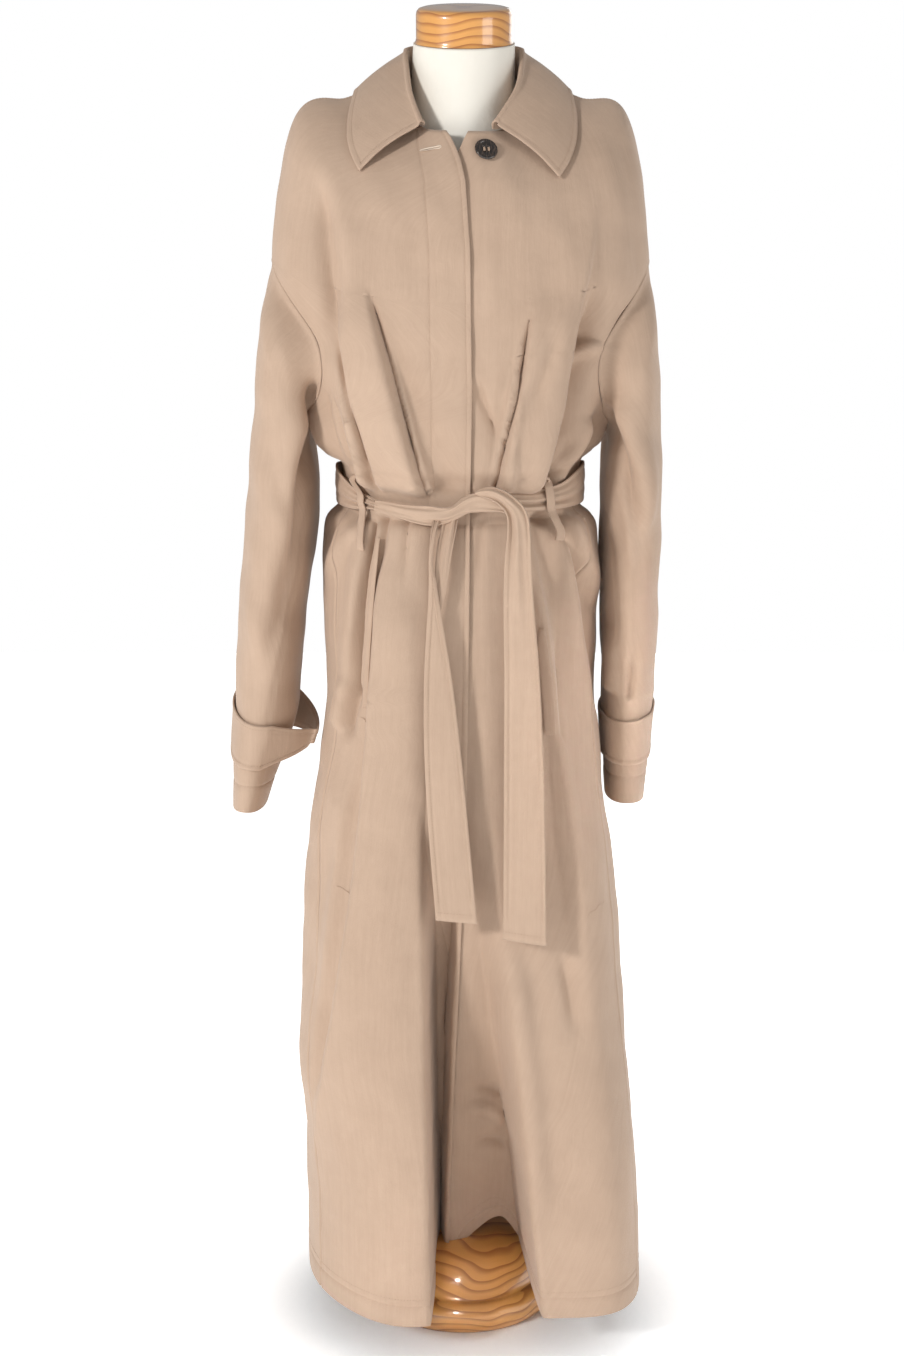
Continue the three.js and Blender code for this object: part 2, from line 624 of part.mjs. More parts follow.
// The overhand tie: one end is wound round the other, which makes a twisted roll of cloth.
const KNOT = table("x y z height depth twist", [
  [-31, -136.5, 956, 17, 5, 0],
  [-24, -138.5, 955, 22, 10, 25],
  [-12, -140.5, 957, 24, 15, 60],
  [0, -142, 961, 25, 18, 95],
  [10, -143, 967, 26, 20, 130],
  [19, -142, 971, 25, 16, 160],
  [26, -138.5, 972, 19, 7, 180],
]);
const KNOT_SIDES = 16;
function addKnot() {
  const rings = [];
  for (let i = 0; i <= 12; i++) {
    const t = ((KNOT.length - 1) * i) / 12;
    const get = (name) => along(KNOT, name, t);
    const ring = [];
    for (let j = 0; j < KNOT_SIDES; j++) {
      const turn = (2 * Math.PI * j) / KNOT_SIDES;
      const r = 0.5 * (1 + 0.09 * Math.cos(2 * (turn - radians(get("twist")))));
      ring.push(
        new THREE.Vector3(
          get("x") + 2 * Math.sin(turn),
          get("y") - r * get("depth") * Math.cos(turn),
          get("z") + r * get("height") * Math.sin(turn),
        ),
      );
    }
    rings.push(ring);
  }
  add("belt_knot", loft(rings), coatMaterial);
}
addKnot();

// The belt's two hanging ends, each a strip between two edges a and b.
const TAIL_COLUMNS = "ax ay az bx by bz";
const TAILS = {
  right: table(TAIL_COLUMNS, [
    [-33, -141, 945.6, -8, -142, 945.1],
    [-37, -152, 914, -14, -144, 915],
    [-35, -159, 887, -19, -148, 889],
    [-33, -162, 863, -19, -153, 863],
    [-39, -163, 830, -17, -159, 830],
    [-43, -165, 795, -13, -163, 795],
    [-43.5, -167, 740, -4, -166, 740],
    [-41, -169, 650, 4, -169, 650],
    [-36, -172, 570, 9, -172, 570],
    [-31, -175, 514, 14, -175, 510],
  ]),
  left: table(TAIL_COLUMNS, [
    [28.7, -140, 963, 28.3, -140, 981],
    [37, -149, 960, 43, -150, 980],
    [44, -154, 952, 59, -158, 970],
    [46, -156, 934, 68, -161, 946],
    [44, -158, 905, 71, -163, 910],
    [42, -160, 860, 74, -164, 862],
    [43, -162, 780, 81, -166, 780],
    [43, -164, 700, 85, -169, 700],
    [43, -166, 600, 88, -171, 600],
    [42.5, -169, 491, 90, -174, 485],
  ]),
};
function addTails() {
  for (const side of ["right", "left"]) {
    const points = [];
    for (let i = 0; i <= 22; i++) {
      const t = ((TAILS[side].length - 1) * i) / 22;
      const get = (name) => along(TAILS[side], name, t);
      const row = [];
      for (let j = 0; j < 3; j++) {
        const point = (axis) => mix(get("a" + axis), get("b" + axis), j / 2);
        row.push(new THREE.Vector3(point("x"), point("y") - (j === 1 ? 1.2 : 0), point("z")));
      }
      points.push(row);
    }
    add("belt_tail_" + side, wall(withNormals(points, 1)), coatMaterial);
  }
}
addTails();

// The loops that hold the belt at each side of the front: off is from the inside of the coat.
const LOOP_WIDTH = 11;
const LOOPS = {
  right: table("x z off", [
    [-106.5, 992, 6],
    [-107, 984, 12],
    [-108, 976, 12.8],
    [-110.5, 958, 12.8],
    [-112, 948, 11.5],
    [-113.5, 936, 6],
    [-114.5, 926, 4.6],
    [-116, 913, 3.6],
  ]),
  left: table("x z off", [
    [90.5, 996, 6],
    [91.5, 990, 12],
    [92.5, 982, 12.8],
    [96, 963, 12.8],
    [98, 954, 11.5],
    [100, 944, 5],
    [102, 936, 3.2],
    [104.5, 920, 3.2],
  ]),
};
function addLoops() {
  for (const side of ["right", "left"]) {
    const rows = LOOPS[side];
    const points = [];
    for (let i = 0; i <= 14; i++) {
      const t = ((rows.length - 1) * i) / 14;
      const row = [];
      for (let j = 0; j < 2; j++) {
        const x = along(rows, "x", t) + (j - 0.5) * LOOP_WIDTH;
        row.push(onFront(x, along(rows, "z", t), along(rows, "off", t)));
      }
      points.push(row);
    }
    add("belt_loop_" + side, wall(withNormals(points, 1)), coatMaterial);
  }
}
addLoops();

// The welts of the slanted pockets, on one column of each front between two rows.
const WELTS = table("side column from to", [
  ["right", 5, 9, 11.2],
  ["left", 10, 9.8, 12],
]);
function addWelts() {
  for (const { side, column, from, to } of WELTS) {
    const grid = [];
    ROWS.forEach((v, i) => {
      if (v < from || v > to) return;
      const row = PANELS[side][i].slice(column, column + 2);
      grid.push(row.map(({ p, n }) => ({ p: p.clone().addScaledVector(n, CLOTH + LIFT), n })));
    });
    add("pocket_welt_" + side, wall(grid), coatMaterial);
  }
}
addWelts();

// The cuff straps go loosely round the sleeves. Each is wider than the sleeve, with a pointed loop
// that stands off towards the body.
const STRAPS = {
  right: { from: 6.7, to: 7.65, tilt: 0.3, loose: 27, forward: -38 },
  left: { from: 6.9, to: 7.85, tilt: 0.15, loose: 0, forward: 0 },
};
function addStraps() {
  for (const side of ["right", "left"]) {
    const sign = side === "right" ? -1 : 1;
    const { from, to, tilt, loose, forward } = STRAPS[side];
    const points = [];
    for (let i = 0; i < 3; i++) {
      const row = [];
      for (let j = 0; j < ROUND; j++) {
        const turn = (2 * Math.PI * j) / ROUND;
        const s = mix(from, to, i / 2) + tilt * Math.sin(turn);
        const p = sleevePoint(side, turn, s);
        const centre = sleevePoint(side, 0, s).lerp(sleevePoint(side, Math.PI, s), 0.5);
        const out = p.clone().sub(centre).setZ(0);
        p.addScaledVector(out.normalize(), CLOTH + 2);
        const inner = Math.max(0, -Math.cos(turn));
        p.x -= sign * loose * inner ** 2.2;
        p.y += forward * inner ** 7;
        row.push(p);
      }
      points.push(row);
    }
    const grid = withNormals(points, -sign, true);
    const facing = sign < 0 ? grid : grid.map((row) => [row[0], ...row.slice(1).reverse()]);
    add("cuff_strap_" + side, wall(facing, true), coatMaterial);
  }
}
addStraps();

// The neck button, sewn on the left front.
const BUTTON = { x: 22, z: 1336, radius: 12.5, rim: 2.2, thickness: 3.4, hole: 1.3, pitch: 2.6 };
function addButton() {
  const b = BUTTON;
  const shape = new THREE.Shape().absarc(0, 0, b.radius, 0, 2 * Math.PI);
  for (const [i, j] of [[1, 1], [1, -1], [-1, 1], [-1, -1]]) {
    shape.holes.push(new THREE.Path().absarc(i * b.pitch, j * b.pitch, b.hole, 0, 2 * Math.PI, true));
  }
  const options = { depth: b.thickness - 1.6, bevelEnabled: true, bevelThickness: 0.8, bevelSize: 0.8 };
  const geometry = new THREE.ExtrudeGeometry(shape, { ...options, bevelOffset: -0.8, bevelSegments: 1, curveSegments: 6 });
  const foot = onFront(b.x, b.z, 0);
  const round = onFront(b.x + 4, b.z, 0).sub(onFront(b.x - 4, b.z, 0));
  const up = onFront(b.x, b.z + 4, 0).sub(onFront(b.x, b.z - 4, 0));
  const out = round.clone().cross(up).normalize();
  const basis = new THREE.Matrix4().makeBasis(round.normalize(), out.clone().cross(round), out);
  foot.addScaledVector(out, CLOTH + 1.3);
  geometry.applyMatrix4(basis.setPosition(foot));
  add("neck_button", geometry, buttonMaterial);
}
addButton();

// The dress form: its shoulders are the coat's own rings moved in, so the coat rests on them.
const FORM_REST = 0.5; // gap between coat and form along the shoulder seams
const FORM_COLUMNS = "side front_z back_z right left front back middle square dip";
const FORM_TOP = table(FORM_COLUMNS, [[1437, 1392, 1446, 58, 56.5, 70, 50, 0, 2, 1.8]]);
const FORM = table(FORM_COLUMNS, [
  [1350, 1222, 1296, 175, 170, 108, 94, 0, 2.1, 1.1],
  [1280, 1195, 1240, 164, 159, 110, 97, 0, 2.1, 1],
  [1200, 1165, 1185, 152, 148, 112, 97, 0, 2.1, 1],
  [1110, 1105, 1110, 136, 132, 104, 90, 0, 2.1, 1],
  [1030, 1030, 1030, 121, 117, 90, 82, 0, 2.1, 1],
  [985, 985, 985, 117, 113, 86, 80, 0, 2.1, 1],
  [930, 930, 930, 122, 118, 90, 86, 0, 2.1, 1],
  [860, 860, 860, 136, 132, 100, 102, 0, 2.1, 1],
  [790, 790, 790, 143, 139, 106, 110, 0, 2.1, 1],
  [725, 725, 725, 138, 134, 103, 107, 0, 2.1, 1],
  [704, 704, 704, 124, 120, 92, 94, 0, 2.1, 1],
]);
const NECK = { radius: 56, y: -9, top: 1464, tilt: 0.3, cap: 1501 };

function addForm() {
  // One set of angles for every ring: the coat's own at the shoulder's end, without the overlap.
  const anglesAt = (i) => {
    const { right, left, back } = ANGLES[i];
    const front = [...right.slice(1), ...left.slice(UNDER + 1, -1)];
    return [...front, 90, ...back.slice(1, -1), 270];
  };
  const shoulder = ROWS.findIndex((v) => v >= 1.99);
  const neck = (z0) => (phi) =>
    new THREE.Vector3(
      NECK.radius * Math.sin(radians(phi)),
      NECK.y - NECK.radius * Math.cos(radians(phi)),
      z0 - NECK.tilt * NECK.radius * Math.cos(radians(phi)),
    );
  const rings = [];
  const even = anglesAt(shoulder);
  rings.push(even.map(neck(NECK.top)));
  rings.push(even.map((phi) => ringPoint(FORM_TOP[0], phi).p));
  ROWS.forEach((v, i) => {
    if (v > 1.9) return;
    rings.push(
      anglesAt(i).map((phi) => {
        const front = Math.abs(Math.cos(radians(phi))) ** 1.2;
        const neckRoom = 3 * (1 - smooth(0, 0.6, v));
        return coatPoint(phi, v).addScaledVector(coatNormal(phi, v), -FORM_REST - neckRoom - 13 * front);
      }),
    );
  });
  const last = ringAt(1.93);
  for (const ring of [{ ...last, side: last.side - 4, right: last.right - 1.5, left: last.left - 1.5, front: last.front - 14, back: last.back - 10 }, ...FORM]) {
    rings.push(even.map((phi) => ringPoint(ring, phi).p));
  }
  add("form_torso", loft(rings), linenMaterial);
}
addForm();

// A turned piece on the stand's axis, or on the neck's when it is tilted.
function turned(profile, sides = 32) {
  const rings = profile.map(([radius, z]) => {
    const ring = [];
    for (let j = 0; j < sides; j++) {
      const turn = (2 * Math.PI * j) / sides;
      ring.push(new THREE.Vector3(radius * Math.sin(turn), -radius * Math.cos(turn), z));
    }
    return ring;
  });
  return loft(rings);
}
const CAP_PROFILE = [[48, 37], [51.5, 35], [53, 31], [53, 4], [54.5, 0.5]];
const cap = turned(CAP_PROFILE);
cap.translate(0, 0, -0.1);
cap.rotateX(Math.atan(NECK.tilt));
cap.translate(0, NECK.y, NECK.top);
add("neck_cap", cap, woodMaterial);

const BASE_PROFILE = [
  [17, 86], [27, 78], [42, 69], [62, 58], [80, 46.5], [92, 38], [95, 34.5], [97, 34], [100, 34.5],
  [105, 31], [109, 24], [110, 15], [109, 9], [104, 0],
];
add("stand_base", turned(BASE_PROFILE, 40), woodMaterial);
add("stand_pole", turned([[11, 703.5], [11, 86.3]], 24), poleMaterial);

export default root;
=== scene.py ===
# %% [markdown]
# # A belted trench coat on a dress form
# This lesson dresses a plain model of a trench coat: the solids give the sizes, and every piece of cloth is
# worked out again here as a fine surface with its folds, seams and stitches. All lengths are in metres in
# the finished meshes, and in millimetres in the tables, as a tailor would write them down.

import json
import math

import bpy
import numpy as np
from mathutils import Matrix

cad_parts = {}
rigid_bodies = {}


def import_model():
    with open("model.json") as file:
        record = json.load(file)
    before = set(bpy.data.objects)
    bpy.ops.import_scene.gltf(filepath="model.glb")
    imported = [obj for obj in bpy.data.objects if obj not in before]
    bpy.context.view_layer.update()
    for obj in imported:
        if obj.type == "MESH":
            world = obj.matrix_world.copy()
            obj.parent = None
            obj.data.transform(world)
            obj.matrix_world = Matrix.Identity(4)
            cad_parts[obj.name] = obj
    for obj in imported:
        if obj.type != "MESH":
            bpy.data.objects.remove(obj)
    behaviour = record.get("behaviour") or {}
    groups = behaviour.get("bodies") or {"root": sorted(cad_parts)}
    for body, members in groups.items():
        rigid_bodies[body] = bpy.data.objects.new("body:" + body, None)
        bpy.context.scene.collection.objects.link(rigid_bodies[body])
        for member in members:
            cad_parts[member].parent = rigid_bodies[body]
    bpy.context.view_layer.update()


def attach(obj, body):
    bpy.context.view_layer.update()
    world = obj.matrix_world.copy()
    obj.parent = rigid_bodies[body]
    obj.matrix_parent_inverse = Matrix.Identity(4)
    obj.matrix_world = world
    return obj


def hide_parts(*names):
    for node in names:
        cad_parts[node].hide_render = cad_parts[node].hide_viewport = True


for leftover in list(bpy.data.objects):
    bpy.data.objects.remove(leftover)
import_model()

# %% [markdown]
# ## Camera, floor and light
# The coat was photographed a little from above, at chest height, in soft light on white. The camera is
# placed by measuring: 2.2 m away, 1.07 m up, and looking 8.2 degrees down.

# %% Camera
CAMERA_PLACE = (-0.0133, -2.2, 1.072)
CAMERA_DOWN = 8.2
SENSOR = 36  # mm, along the photo's longer side
FOCAL_PIXELS, PHOTO_HEIGHT = 1915, 1356
camera = bpy.data.objects.new("camera", bpy.data.cameras.new("camera"))
camera.location = CAMERA_PLACE
camera.rotation_euler = (math.radians(90 - CAMERA_DOWN), 0, 0)
camera.data.sensor_width = SENSOR
camera.data.lens = FOCAL_PIXELS / PHOTO_HEIGHT * SENSOR
bpy.context.scene.collection.objects.link(camera)
bpy.context.scene.camera = camera
print("camera lens", round(camera.data.lens, 2))

# %% Soft lights and white surroundings
def area_light(name, place, aim, size, power):
    """A square lamp at place that shines towards aim."""
    lamp = bpy.data.objects.new(name, bpy.data.lights.new(name, "AREA"))
    lamp.data.shape = "SQUARE"
    lamp.data.size = size
    lamp.data.energy = power
    lamp.location = place
    way = np.array(aim) - np.array(place)
    yaw = math.atan2(way[0], way[1])
    pitch = math.atan2(way[2], math.hypot(way[0], way[1]))
    lamp.rotation_euler = (math.pi / 2 + pitch, 0, -yaw)
    bpy.context.scene.collection.objects.link(lamp)
    return lamp


area_light("key", (-2.66, -2.65, 2.0), (0, 0, 0.85), 0.5, 86)
area_light("fill", (2.9, -1.9, 1.2), (0, 0, 0.85), 1.6, 26)
area_light("back", (1.2, 2.4, 2.0), (0, 0, 0.9), 1.6, 11)
# Two narrow lamps reach what the large ones leave dark: the base's top and the left sleeve's lower end.
low = area_light("low", (-0.35, -2.3, 1.15), (0, -0.1, 0.0), 0.25, 0.05)
low.data.spread = math.radians(8)
side = area_light("side", (0.75, -2.5, 0.9), (0.21, 0, 0.72), 0.3, 0.1)
side.data.spread = math.radians(7)
# The surroundings are white to the camera and light the coat with a part of that.
SURROUNDING_LIGHT = 0.36
world = bpy.data.worlds.new("studio")
bpy.context.scene.world = world
world.use_nodes = True
sky = world.node_tree.nodes["Background"]
seen = world.node_tree.nodes.new("ShaderNodeLightPath").outputs["Is Camera Ray"]
level = world.node_tree.nodes.new("ShaderNodeMapRange")
level.inputs["To Min"].default_value = SURROUNDING_LIGHT
level.inputs["To Max"].default_value = 1.0
world.node_tree.links.new(seen, level.inputs["Value"])
world.node_tree.links.new(level.outputs["Result"], sky.inputs["Strength"])
sky.inputs["Color"].default_value = (1, 1, 1, 1)
bpy.context.scene.view_settings.view_transform = "Standard"

# %% [markdown]
# ## Tables and smooth curves
# A garment changes its girth slowly from the neck to the hem. A short table gives its rings, one row for
# each place that a tailor would measure, and a smooth curve through a column gives every height between.

# %% Small helpers for tables
def table(columns, rows):
    """Rows of numbers as one array for each named column."""
    return {name: np.array(column, float) for name, column in zip(columns.split(), zip(*rows))}


def through(values, t):
    """A Catmull-Rom curve, which passes through each of the values or points, at row numbers t.
    With neighbours a, b, c, d and the share f of the way from b to c it is
    b + f/2 (c - a + f (2a - 5b + 4c - d + f (3 (b - c) + d - a)))."""
    last = len(values) - 1
    i = np.clip(np.floor(t).astype(int), 0, last - 1)
    f = (np.asarray(t) - i)[(...,) + (None,) * (values.ndim - 1)]
    a, b, c, d = (values[np.clip(i + k, 0, last)] for k in (-1, 0, 1, 2))
    return b + 0.5 * f * (c - a + f * (2 * a - 5 * b + 4 * c - d + f * (3 * (b - c) + d - a)))


def along(rows, name, t):
    """The column of a table at row number t, which needn't be whole."""
    return through(rows[name], t)


def smooth(start, end, x):
    """0 before start, 1 after end, and 3t^2 - 2t^3 between, with t the share of the way."""
    t = np.clip((np.asarray(x, float) - start) / (end - start), 0, 1)
    return t * t * (3 - 2 * t)


def mix(a, b, t):
    """What lies at the share t of the way from a to b."""
    return a + (b - a) * t


def unit(v):
    """Vectors of length 1."""
    return v / np.maximum(np.linalg.norm(v, axis=-1, keepdims=True), 1e-9)


# %% The coat's rings, from the neckline to the hem
# Columns: heights at the side, front and back, reach to the right, left, front and back, where the middle
# is from front to back, how square the ring is, and how soon it falls from the side to front and back.
RING_COLUMNS = "side front_z back_z right left front back middle square dip"
RINGS = table(
    RING_COLUMNS,
    [
        (1424, 1358, 1434, 66, 64, 92, 60, 0, 2.0, 2.2),  # neckline
        (1406, 1306, 1404, 130, 127, 114, 92, 0, 2.1, 1.5),  # shoulder
        (1386, 1250, 1330, 186, 181, 126, 110, 0, 2.2, 1.15),  # end of the shoulder
        (1232, 1176, 1216, 213, 205, 134, 120, 0, 2.3, 1),  # top of the armhole
        (1138, 1112, 1128, 186, 180, 138, 122, 0, 2.3, 1),  # chest
        (1042, 1052, 1046, 168, 158, 138, 118, 0, 2.2, 1),  # armpit
        (1022, 1003, 1026, 151, 144, 137, 110, 0, 2.2, 1),  # over the belt
        (1006, 983, 1006, 138, 130, 128, 100, 0, 2.2, 1),  # top of the belt
        (962, 944, 960, 137, 129, 127, 99, 0, 2.2, 1),  # bottom of the belt
        (934, 926, 938, 155, 149, 133, 112, 0, 2.3, 1),  # under the belt
        (850, 846, 856, 159, 151, 141, 130, 0, 2.4, 1),  # hip
        (750, 750, 756, 156, 149, 146, 142, 0, 2.4, 1),  # thigh
        (655, 655, 658, 166, 152, 148, 150, 2, 2.4, 1),  # bottom of the pocket
        (540, 540, 542, 181, 168, 152, 158, 6, 2.4, 1),  # where the fronts part
        (420, 420, 422, 186, 177, 157, 168, 10, 2.4, 1),  # knee
        (295, 295, 297, 186, 183, 163, 178, 14, 2.4, 1),  # calf
        (170, 170, 172, 185, 184, 168, 186, 18, 2.4, 1),  # shin
        (54, 46, 58, 184, 184, 172, 190, 20, 2.4, 1),  # hem
    ],
)
# Row numbers of places on the coat, and angles in degrees.
ARMHOLE_TOP, ARMPIT, BELT, HEM = 3, 5, 7.5, 17
ARMHOLE_WIDTH, SEAM_TURN = 36, 30
HEM_RING_GAP = 118  # mm of cloth between the last two rings
hem_across, hem_deep = (RINGS[a][-1] + RINGS[b][-1] for a, b in (("left", "right"), ("front", "back")))
print("girth at the hem about", round(math.pi * math.sqrt((hem_across**2 + hem_deep**2) / 2)), "mm")


def ring_point(rings, v, phi):
    """The point of ring v at angle phi, in degrees from the centre front towards the wearer's left, and the
    level way out of it. With s and c the sine and cosine of phi, a ring is a squared oval:
    x = half s^(2/n), y = middle - depth c^(2/n), and z falls from the side to the front or back."""
    g = {name: along(rings, name, v) for name in rings}
    s, c = np.sin(np.radians(phi)), np.cos(np.radians(phi))
    power = 2 / g["square"]
    half = np.where(s < 0, g["right"], g["left"])
    deep = np.where(c > 0, g["front"] + g["middle"], g["back"] - g["middle"])
    fall = 1 - (1 - np.abs(c) ** 1.4) ** g["dip"]
    x = half * np.sign(s) * np.abs(s) ** power
    y = g["middle"] - deep * np.sign(c) * np.abs(c) ** power
    z = g["side"] + (np.where(c > 0, g["front_z"], g["back_z"]) - g["side"]) * fall
    out = np.stack(
        [
            np.sign(s) * np.abs(s) ** (2 - power) / half,
            -np.sign(c) * np.abs(c) ** (2 - power) / deep,
            np.zeros_like(x + z),
        ],
        -1,
    )
    return np.stack(np.broadcast_arrays(x, y, z), -1), unit(out)


# %% [markdown]
# ## Folds
# Cotton gabardine is stiff enough to stand in long tapering folds that start where the cloth is held: at
# the shoulder, at the armhole and under the belt. Each fold is a soft ridge along a bent line, steep on
# one side and gentle on the other, so a table of them is easy to set against the real coat one by one.

# %% The folds and the formula that turns them into a height
# face is 1 on the front and 0 on the back. All else is in mm: the line's ends, how far it bends sideways,
# the height, the width on either side, and the lengths over which the fold grows and dies.
FOLD_COLUMNS = "face x0 z0 x1 z1 bow height plus minus fade0 fade1"
FOLDS = table(
    FOLD_COLUMNS,
    [
        (1, -97, 1168, -33, 945, 3, 11, 5, 44, 90, 12),
        (1, -152, 1330, -84, 945, -10, 12, 34, 6, 200, 12),
        (1, -150, 1110, -112, 955, -4, 7, 10, 22, 60, 20),
        (1, 78, 1195, 28, 950, -3, 12, 40, 5, 90, 12),
        (1, 142, 1300, 66, 950, 6, 15, 5, 34, 160, 12),
        (1, 14, 1100, 46, 985, 0, -4, 20, 12, 50, 40),
        (1, 122, 1230, 104, 1060, 6, -10, 16, 14, 90, 70),
        (1, -146, 1260, -132, 1090, 0, -8, 14, 14, 120, 80),
        (1, -86, 935, -176, 170, 22, 20, 60, 7, 120, 200),
        (1, 72, 935, 134, 330, 6, 20, 46, 9, 120, 260),
        (1, -72, 800, -74, 30, 0, 14, 40, 56, 500, 1),
        (1, 126, 640, 150, 30, 0, 44, 44, 38, 520, 1),
        (1, 128, 925, 152, 700, 0, -10, 14, 12, 90, 150),
        (0, 4, 860, 8, 30, 0, -16, 34, 34, 420, 1),
        (0, -66, 940, -104, 30, -6, 20, 40, 30, 420, 1),
        (0, 74, 940, 112, 30, 5, 22, 32, 42, 420, 1),
        (0, -92, 1190, -48, 950, 0, 10, 10, 36, 120, 12),
        (0, 98, 1180, 42, 950, 0, 11, 38, 10, 120, 12),
        (0, 6, 1120, -4, 950, 0, 7, 22, 22, 90, 12),
    ],
)
# Sharper creases run along any straight or bent line on the cloth, in x and z: a belt draws the cloth
# into narrow overlaps whose dark line is a valley with a roll of cloth on one side of it.
CREASES = table(
    FOLD_COLUMNS,
    [
        (1, -103, 1196, -37, 962, 0, -11, 2.6, 2.2, 70, 3),
        (1, -109, 1204, -43, 962, 0, 8, 2.8, 24, 60, 3),
        (1, -86, 1150, -20, 962, 0, -5, 20, 8, 80, 3),
        (1, -139, 1152, -86, 962, 0, -9, 4, 3, 60, 3),
        (1, -145, 1160, -92, 962, 0, 7, 4, 17, 60, 3),
        (1, -145, 1096, -101, 966, 0, -6, 4, 4, 40, 3),
        (1, -164, 1330, -132, 1132, 4, -10, 12, 13, 70, 60),
        (1, -122, 1126, -108, 1010, 0, 4, 5, 8, 50, 50),
        (1, -150, 1092, -118, 985, -6, -7, 6, 6, 24, 20),
        (1, -168, 1076, -136, 1000, -5, 6, 7, 9, 20, 20),
        (1, 73, 1180, 29, 962, 2, -11, 3, 4, 60, 3),
        (1, 58, 1112, 40, 962, 0, 5, 5, 8, 50, 10),
        (1, 146, 1216, 76, 970, 5, -15, 17, 5, 90, 12),
        (1, 8, 1104, 43, 1024, 0, -4, 3.5, 6, 30, 30),
        (1, 100, 1160, 60, 1046, 3, -5, 7, 9, 50, 50),
        (1, 112, 1108, 152, 1136, 5, 9, 6, 7, 14, 14),
        (1, 116, 1124, 146, 1144, 3, -6, 5, 5, 12, 12),
        (1, 150, 1072, 112, 984, 8, -8, 6, 6, 22, 14),
        (1, 140, 1058, 96, 982, 6, 6, 6, 8, 20, 12),
        (1, 122, 1040, 88, 978, 4, -6, 5, 5, 20, 8),
        (1, -84, 952, -98, 850, 0, -6, 4, 5, 4, 60),
        (1, -60, 950, -64, 870, 0, -4, 4, 6, 4, 50),
        (1, -128, 958, -160, 900, -4, -6, 5, 6, 6, 30),
        (1, -118, 940, -158, 862, -4, 5, 7, 8, 10, 40),
        (1, -97, 946, -116, 744, -5, -8, 2.6, 3, 8, 8),
        (1, -105, 930, -126, 744, -5, 5, 4, 12, 40, 20),
        (1, -113, 768, -129, 700, -4, -9, 8, 5, 20, 16),
        (1, -122, 772, -138, 706, -4, 6, 6, 10, 20, 16),
        (1, -116, 706, -168, 214, -10, 9, 10, 40, 120, 100),
        (1, -130, 640, -172, 330, -10, -8, 16, 16, 100, 120),
        (1, 78, 962, 110, 560, 10, -15, 16, 15, 20, 240),
        (1, 100, 955, 150, 815, 6, -7, 4, 6, 12, 60),
        (1, 108, 955, 158, 820, 6, 6, 12, 4, 16, 60),
        (1, 120, 918, 152, 690, 4, -6, 5, 7, 40, 90),
        (1, 100, 842, 101, 702, 0, -2.5, 3, 4, 60, 6),
        (1, 50, 500, 84, 150, 4, 6, 12, 18, 90, 70),
        (1, 104, 480, 118, 360, 2, -6, 7, 7, 50, 50),
        (1, 4, 290, 62, 250, 6, -6, 8, 8, 26, 26),
        (1, 0, 262, 52, 214, 8, 7, 9, 9, 26, 26),
        (1, 8, 206, 60, 178, 5, -5, 7, 8, 22, 22),
        (1, 20, 950, 12, 850, 0, -3, 5, 5, 4, 70),
        (0, -40, 1330, -96, 1060, 8, -6, 20, 16, 120, 120),
        (0, 44, 1320, 100, 1050, -8, -6, 16, 20, 120, 120),
        (0, -60, 1100, -30, 982, 0, -8, 5, 7, 60, 3),
        (0, -70, 1106, -40, 982, 0, 6, 5, 14, 60, 3),
        (0, 66, 1110, 34, 982, 0, -8, 7, 5, 60, 3),
        (0, 77, 1114, 45, 982, 0, 6, 14, 5, 60, 3),
        (0, 112, 1090, 84, 984, 4, -7, 5, 6, 40, 3),
        (0, -116, 1096, -88, 984, -4, -7, 6, 5, 40, 3),
        (0, 8, 1060, 4, 984, 0, -5, 5, 6, 30, 3),
        (0, -50, 944, -76, 690, -6, -9, 8, 7, 8, 160),
        (0, 34, 944, 58, 650, 6, -9, 7, 9, 8, 180),
        (0, 96, 940, 132, 730, 6, -7, 7, 7, 8, 110),
        (0, -104, 940, -140, 740, -6, -7, 7, 7, 8, 110),
        (0, -10, 700, -34, 80, 0, -12, 22, 20, 220, 40),
        (0, 60, 620, 84, 70, 5, 12, 26, 18, 200, 40),
        (0, -110, 600, -140, 80, -6, 10, 20, 26, 200, 40),
    ],
)
# The creases of both sleeves, also in x and z: the wearer's right sleeve has negative x.
SLEEVE_CREASES = table(
    FOLD_COLUMNS,
    [
        (1, -162, 1100, -186, 880, -5, -15, 9, 7, 20, 110),
        (1, -176, 1086, -202, 850, -5, 7, 8, 16, 40, 110),
        (1, -190, 960, -232, 760, 10, -5, 8, 12, 70, 70),
        (1, -214, 1040, -196, 930, 0, -4, 8, 10, 50, 50),
        (1, -240, 880, -224, 760, 3, 5, 10, 10, 50, 60),
        (1, 158, 1072, 194, 890, 6, -9, 7, 8, 16, 90),
        (1, 168, 1084, 206, 880, 6, 6, 14, 7, 30, 90),
        (1, 194, 830, 186, 742, 0, -6, 2.6, 3.4, 66, 4),
        (1, 201, 830, 194, 742, 0, 3, 12, 4, 60, 4),
        (1, 172, 830, 170, 746, 0, 5, 6, 9, 40, 6),
        (1, 206, 960, 190, 860, 0, -5, 8, 10, 50, 50),
        (1, 168, 980, 182, 850, 0, -4, 8, 8, 50, 50),
        (0, -176, 1086, -214, 900, -6, -9, 9, 9, 30, 90),
        (0, 170, 1086, 204, 900, 6, -9, 9, 9, 30, 90),
        (0, -230, 1000, -206, 820, 4, -6, 10, 12, 70, 80),
        (0, 204, 1000, 184, 820, -4, -6, 12, 10, 70, 80),
        (1, -168, 985, -202, 814, 2, -1.1, 1.4, 1.4, 20, 3),
        (1, -202, 816, -222, 700, -2, -1.1, 1.4, 1.4, 3, 10),
        (1, 160, 960, 176, 800, 2, -1.1, 1.4, 1.4, 20, 3),
        (1, 176, 802, 180, 730, 0, -1.1, 1.4, 1.4, 3, 10),
    ],
)
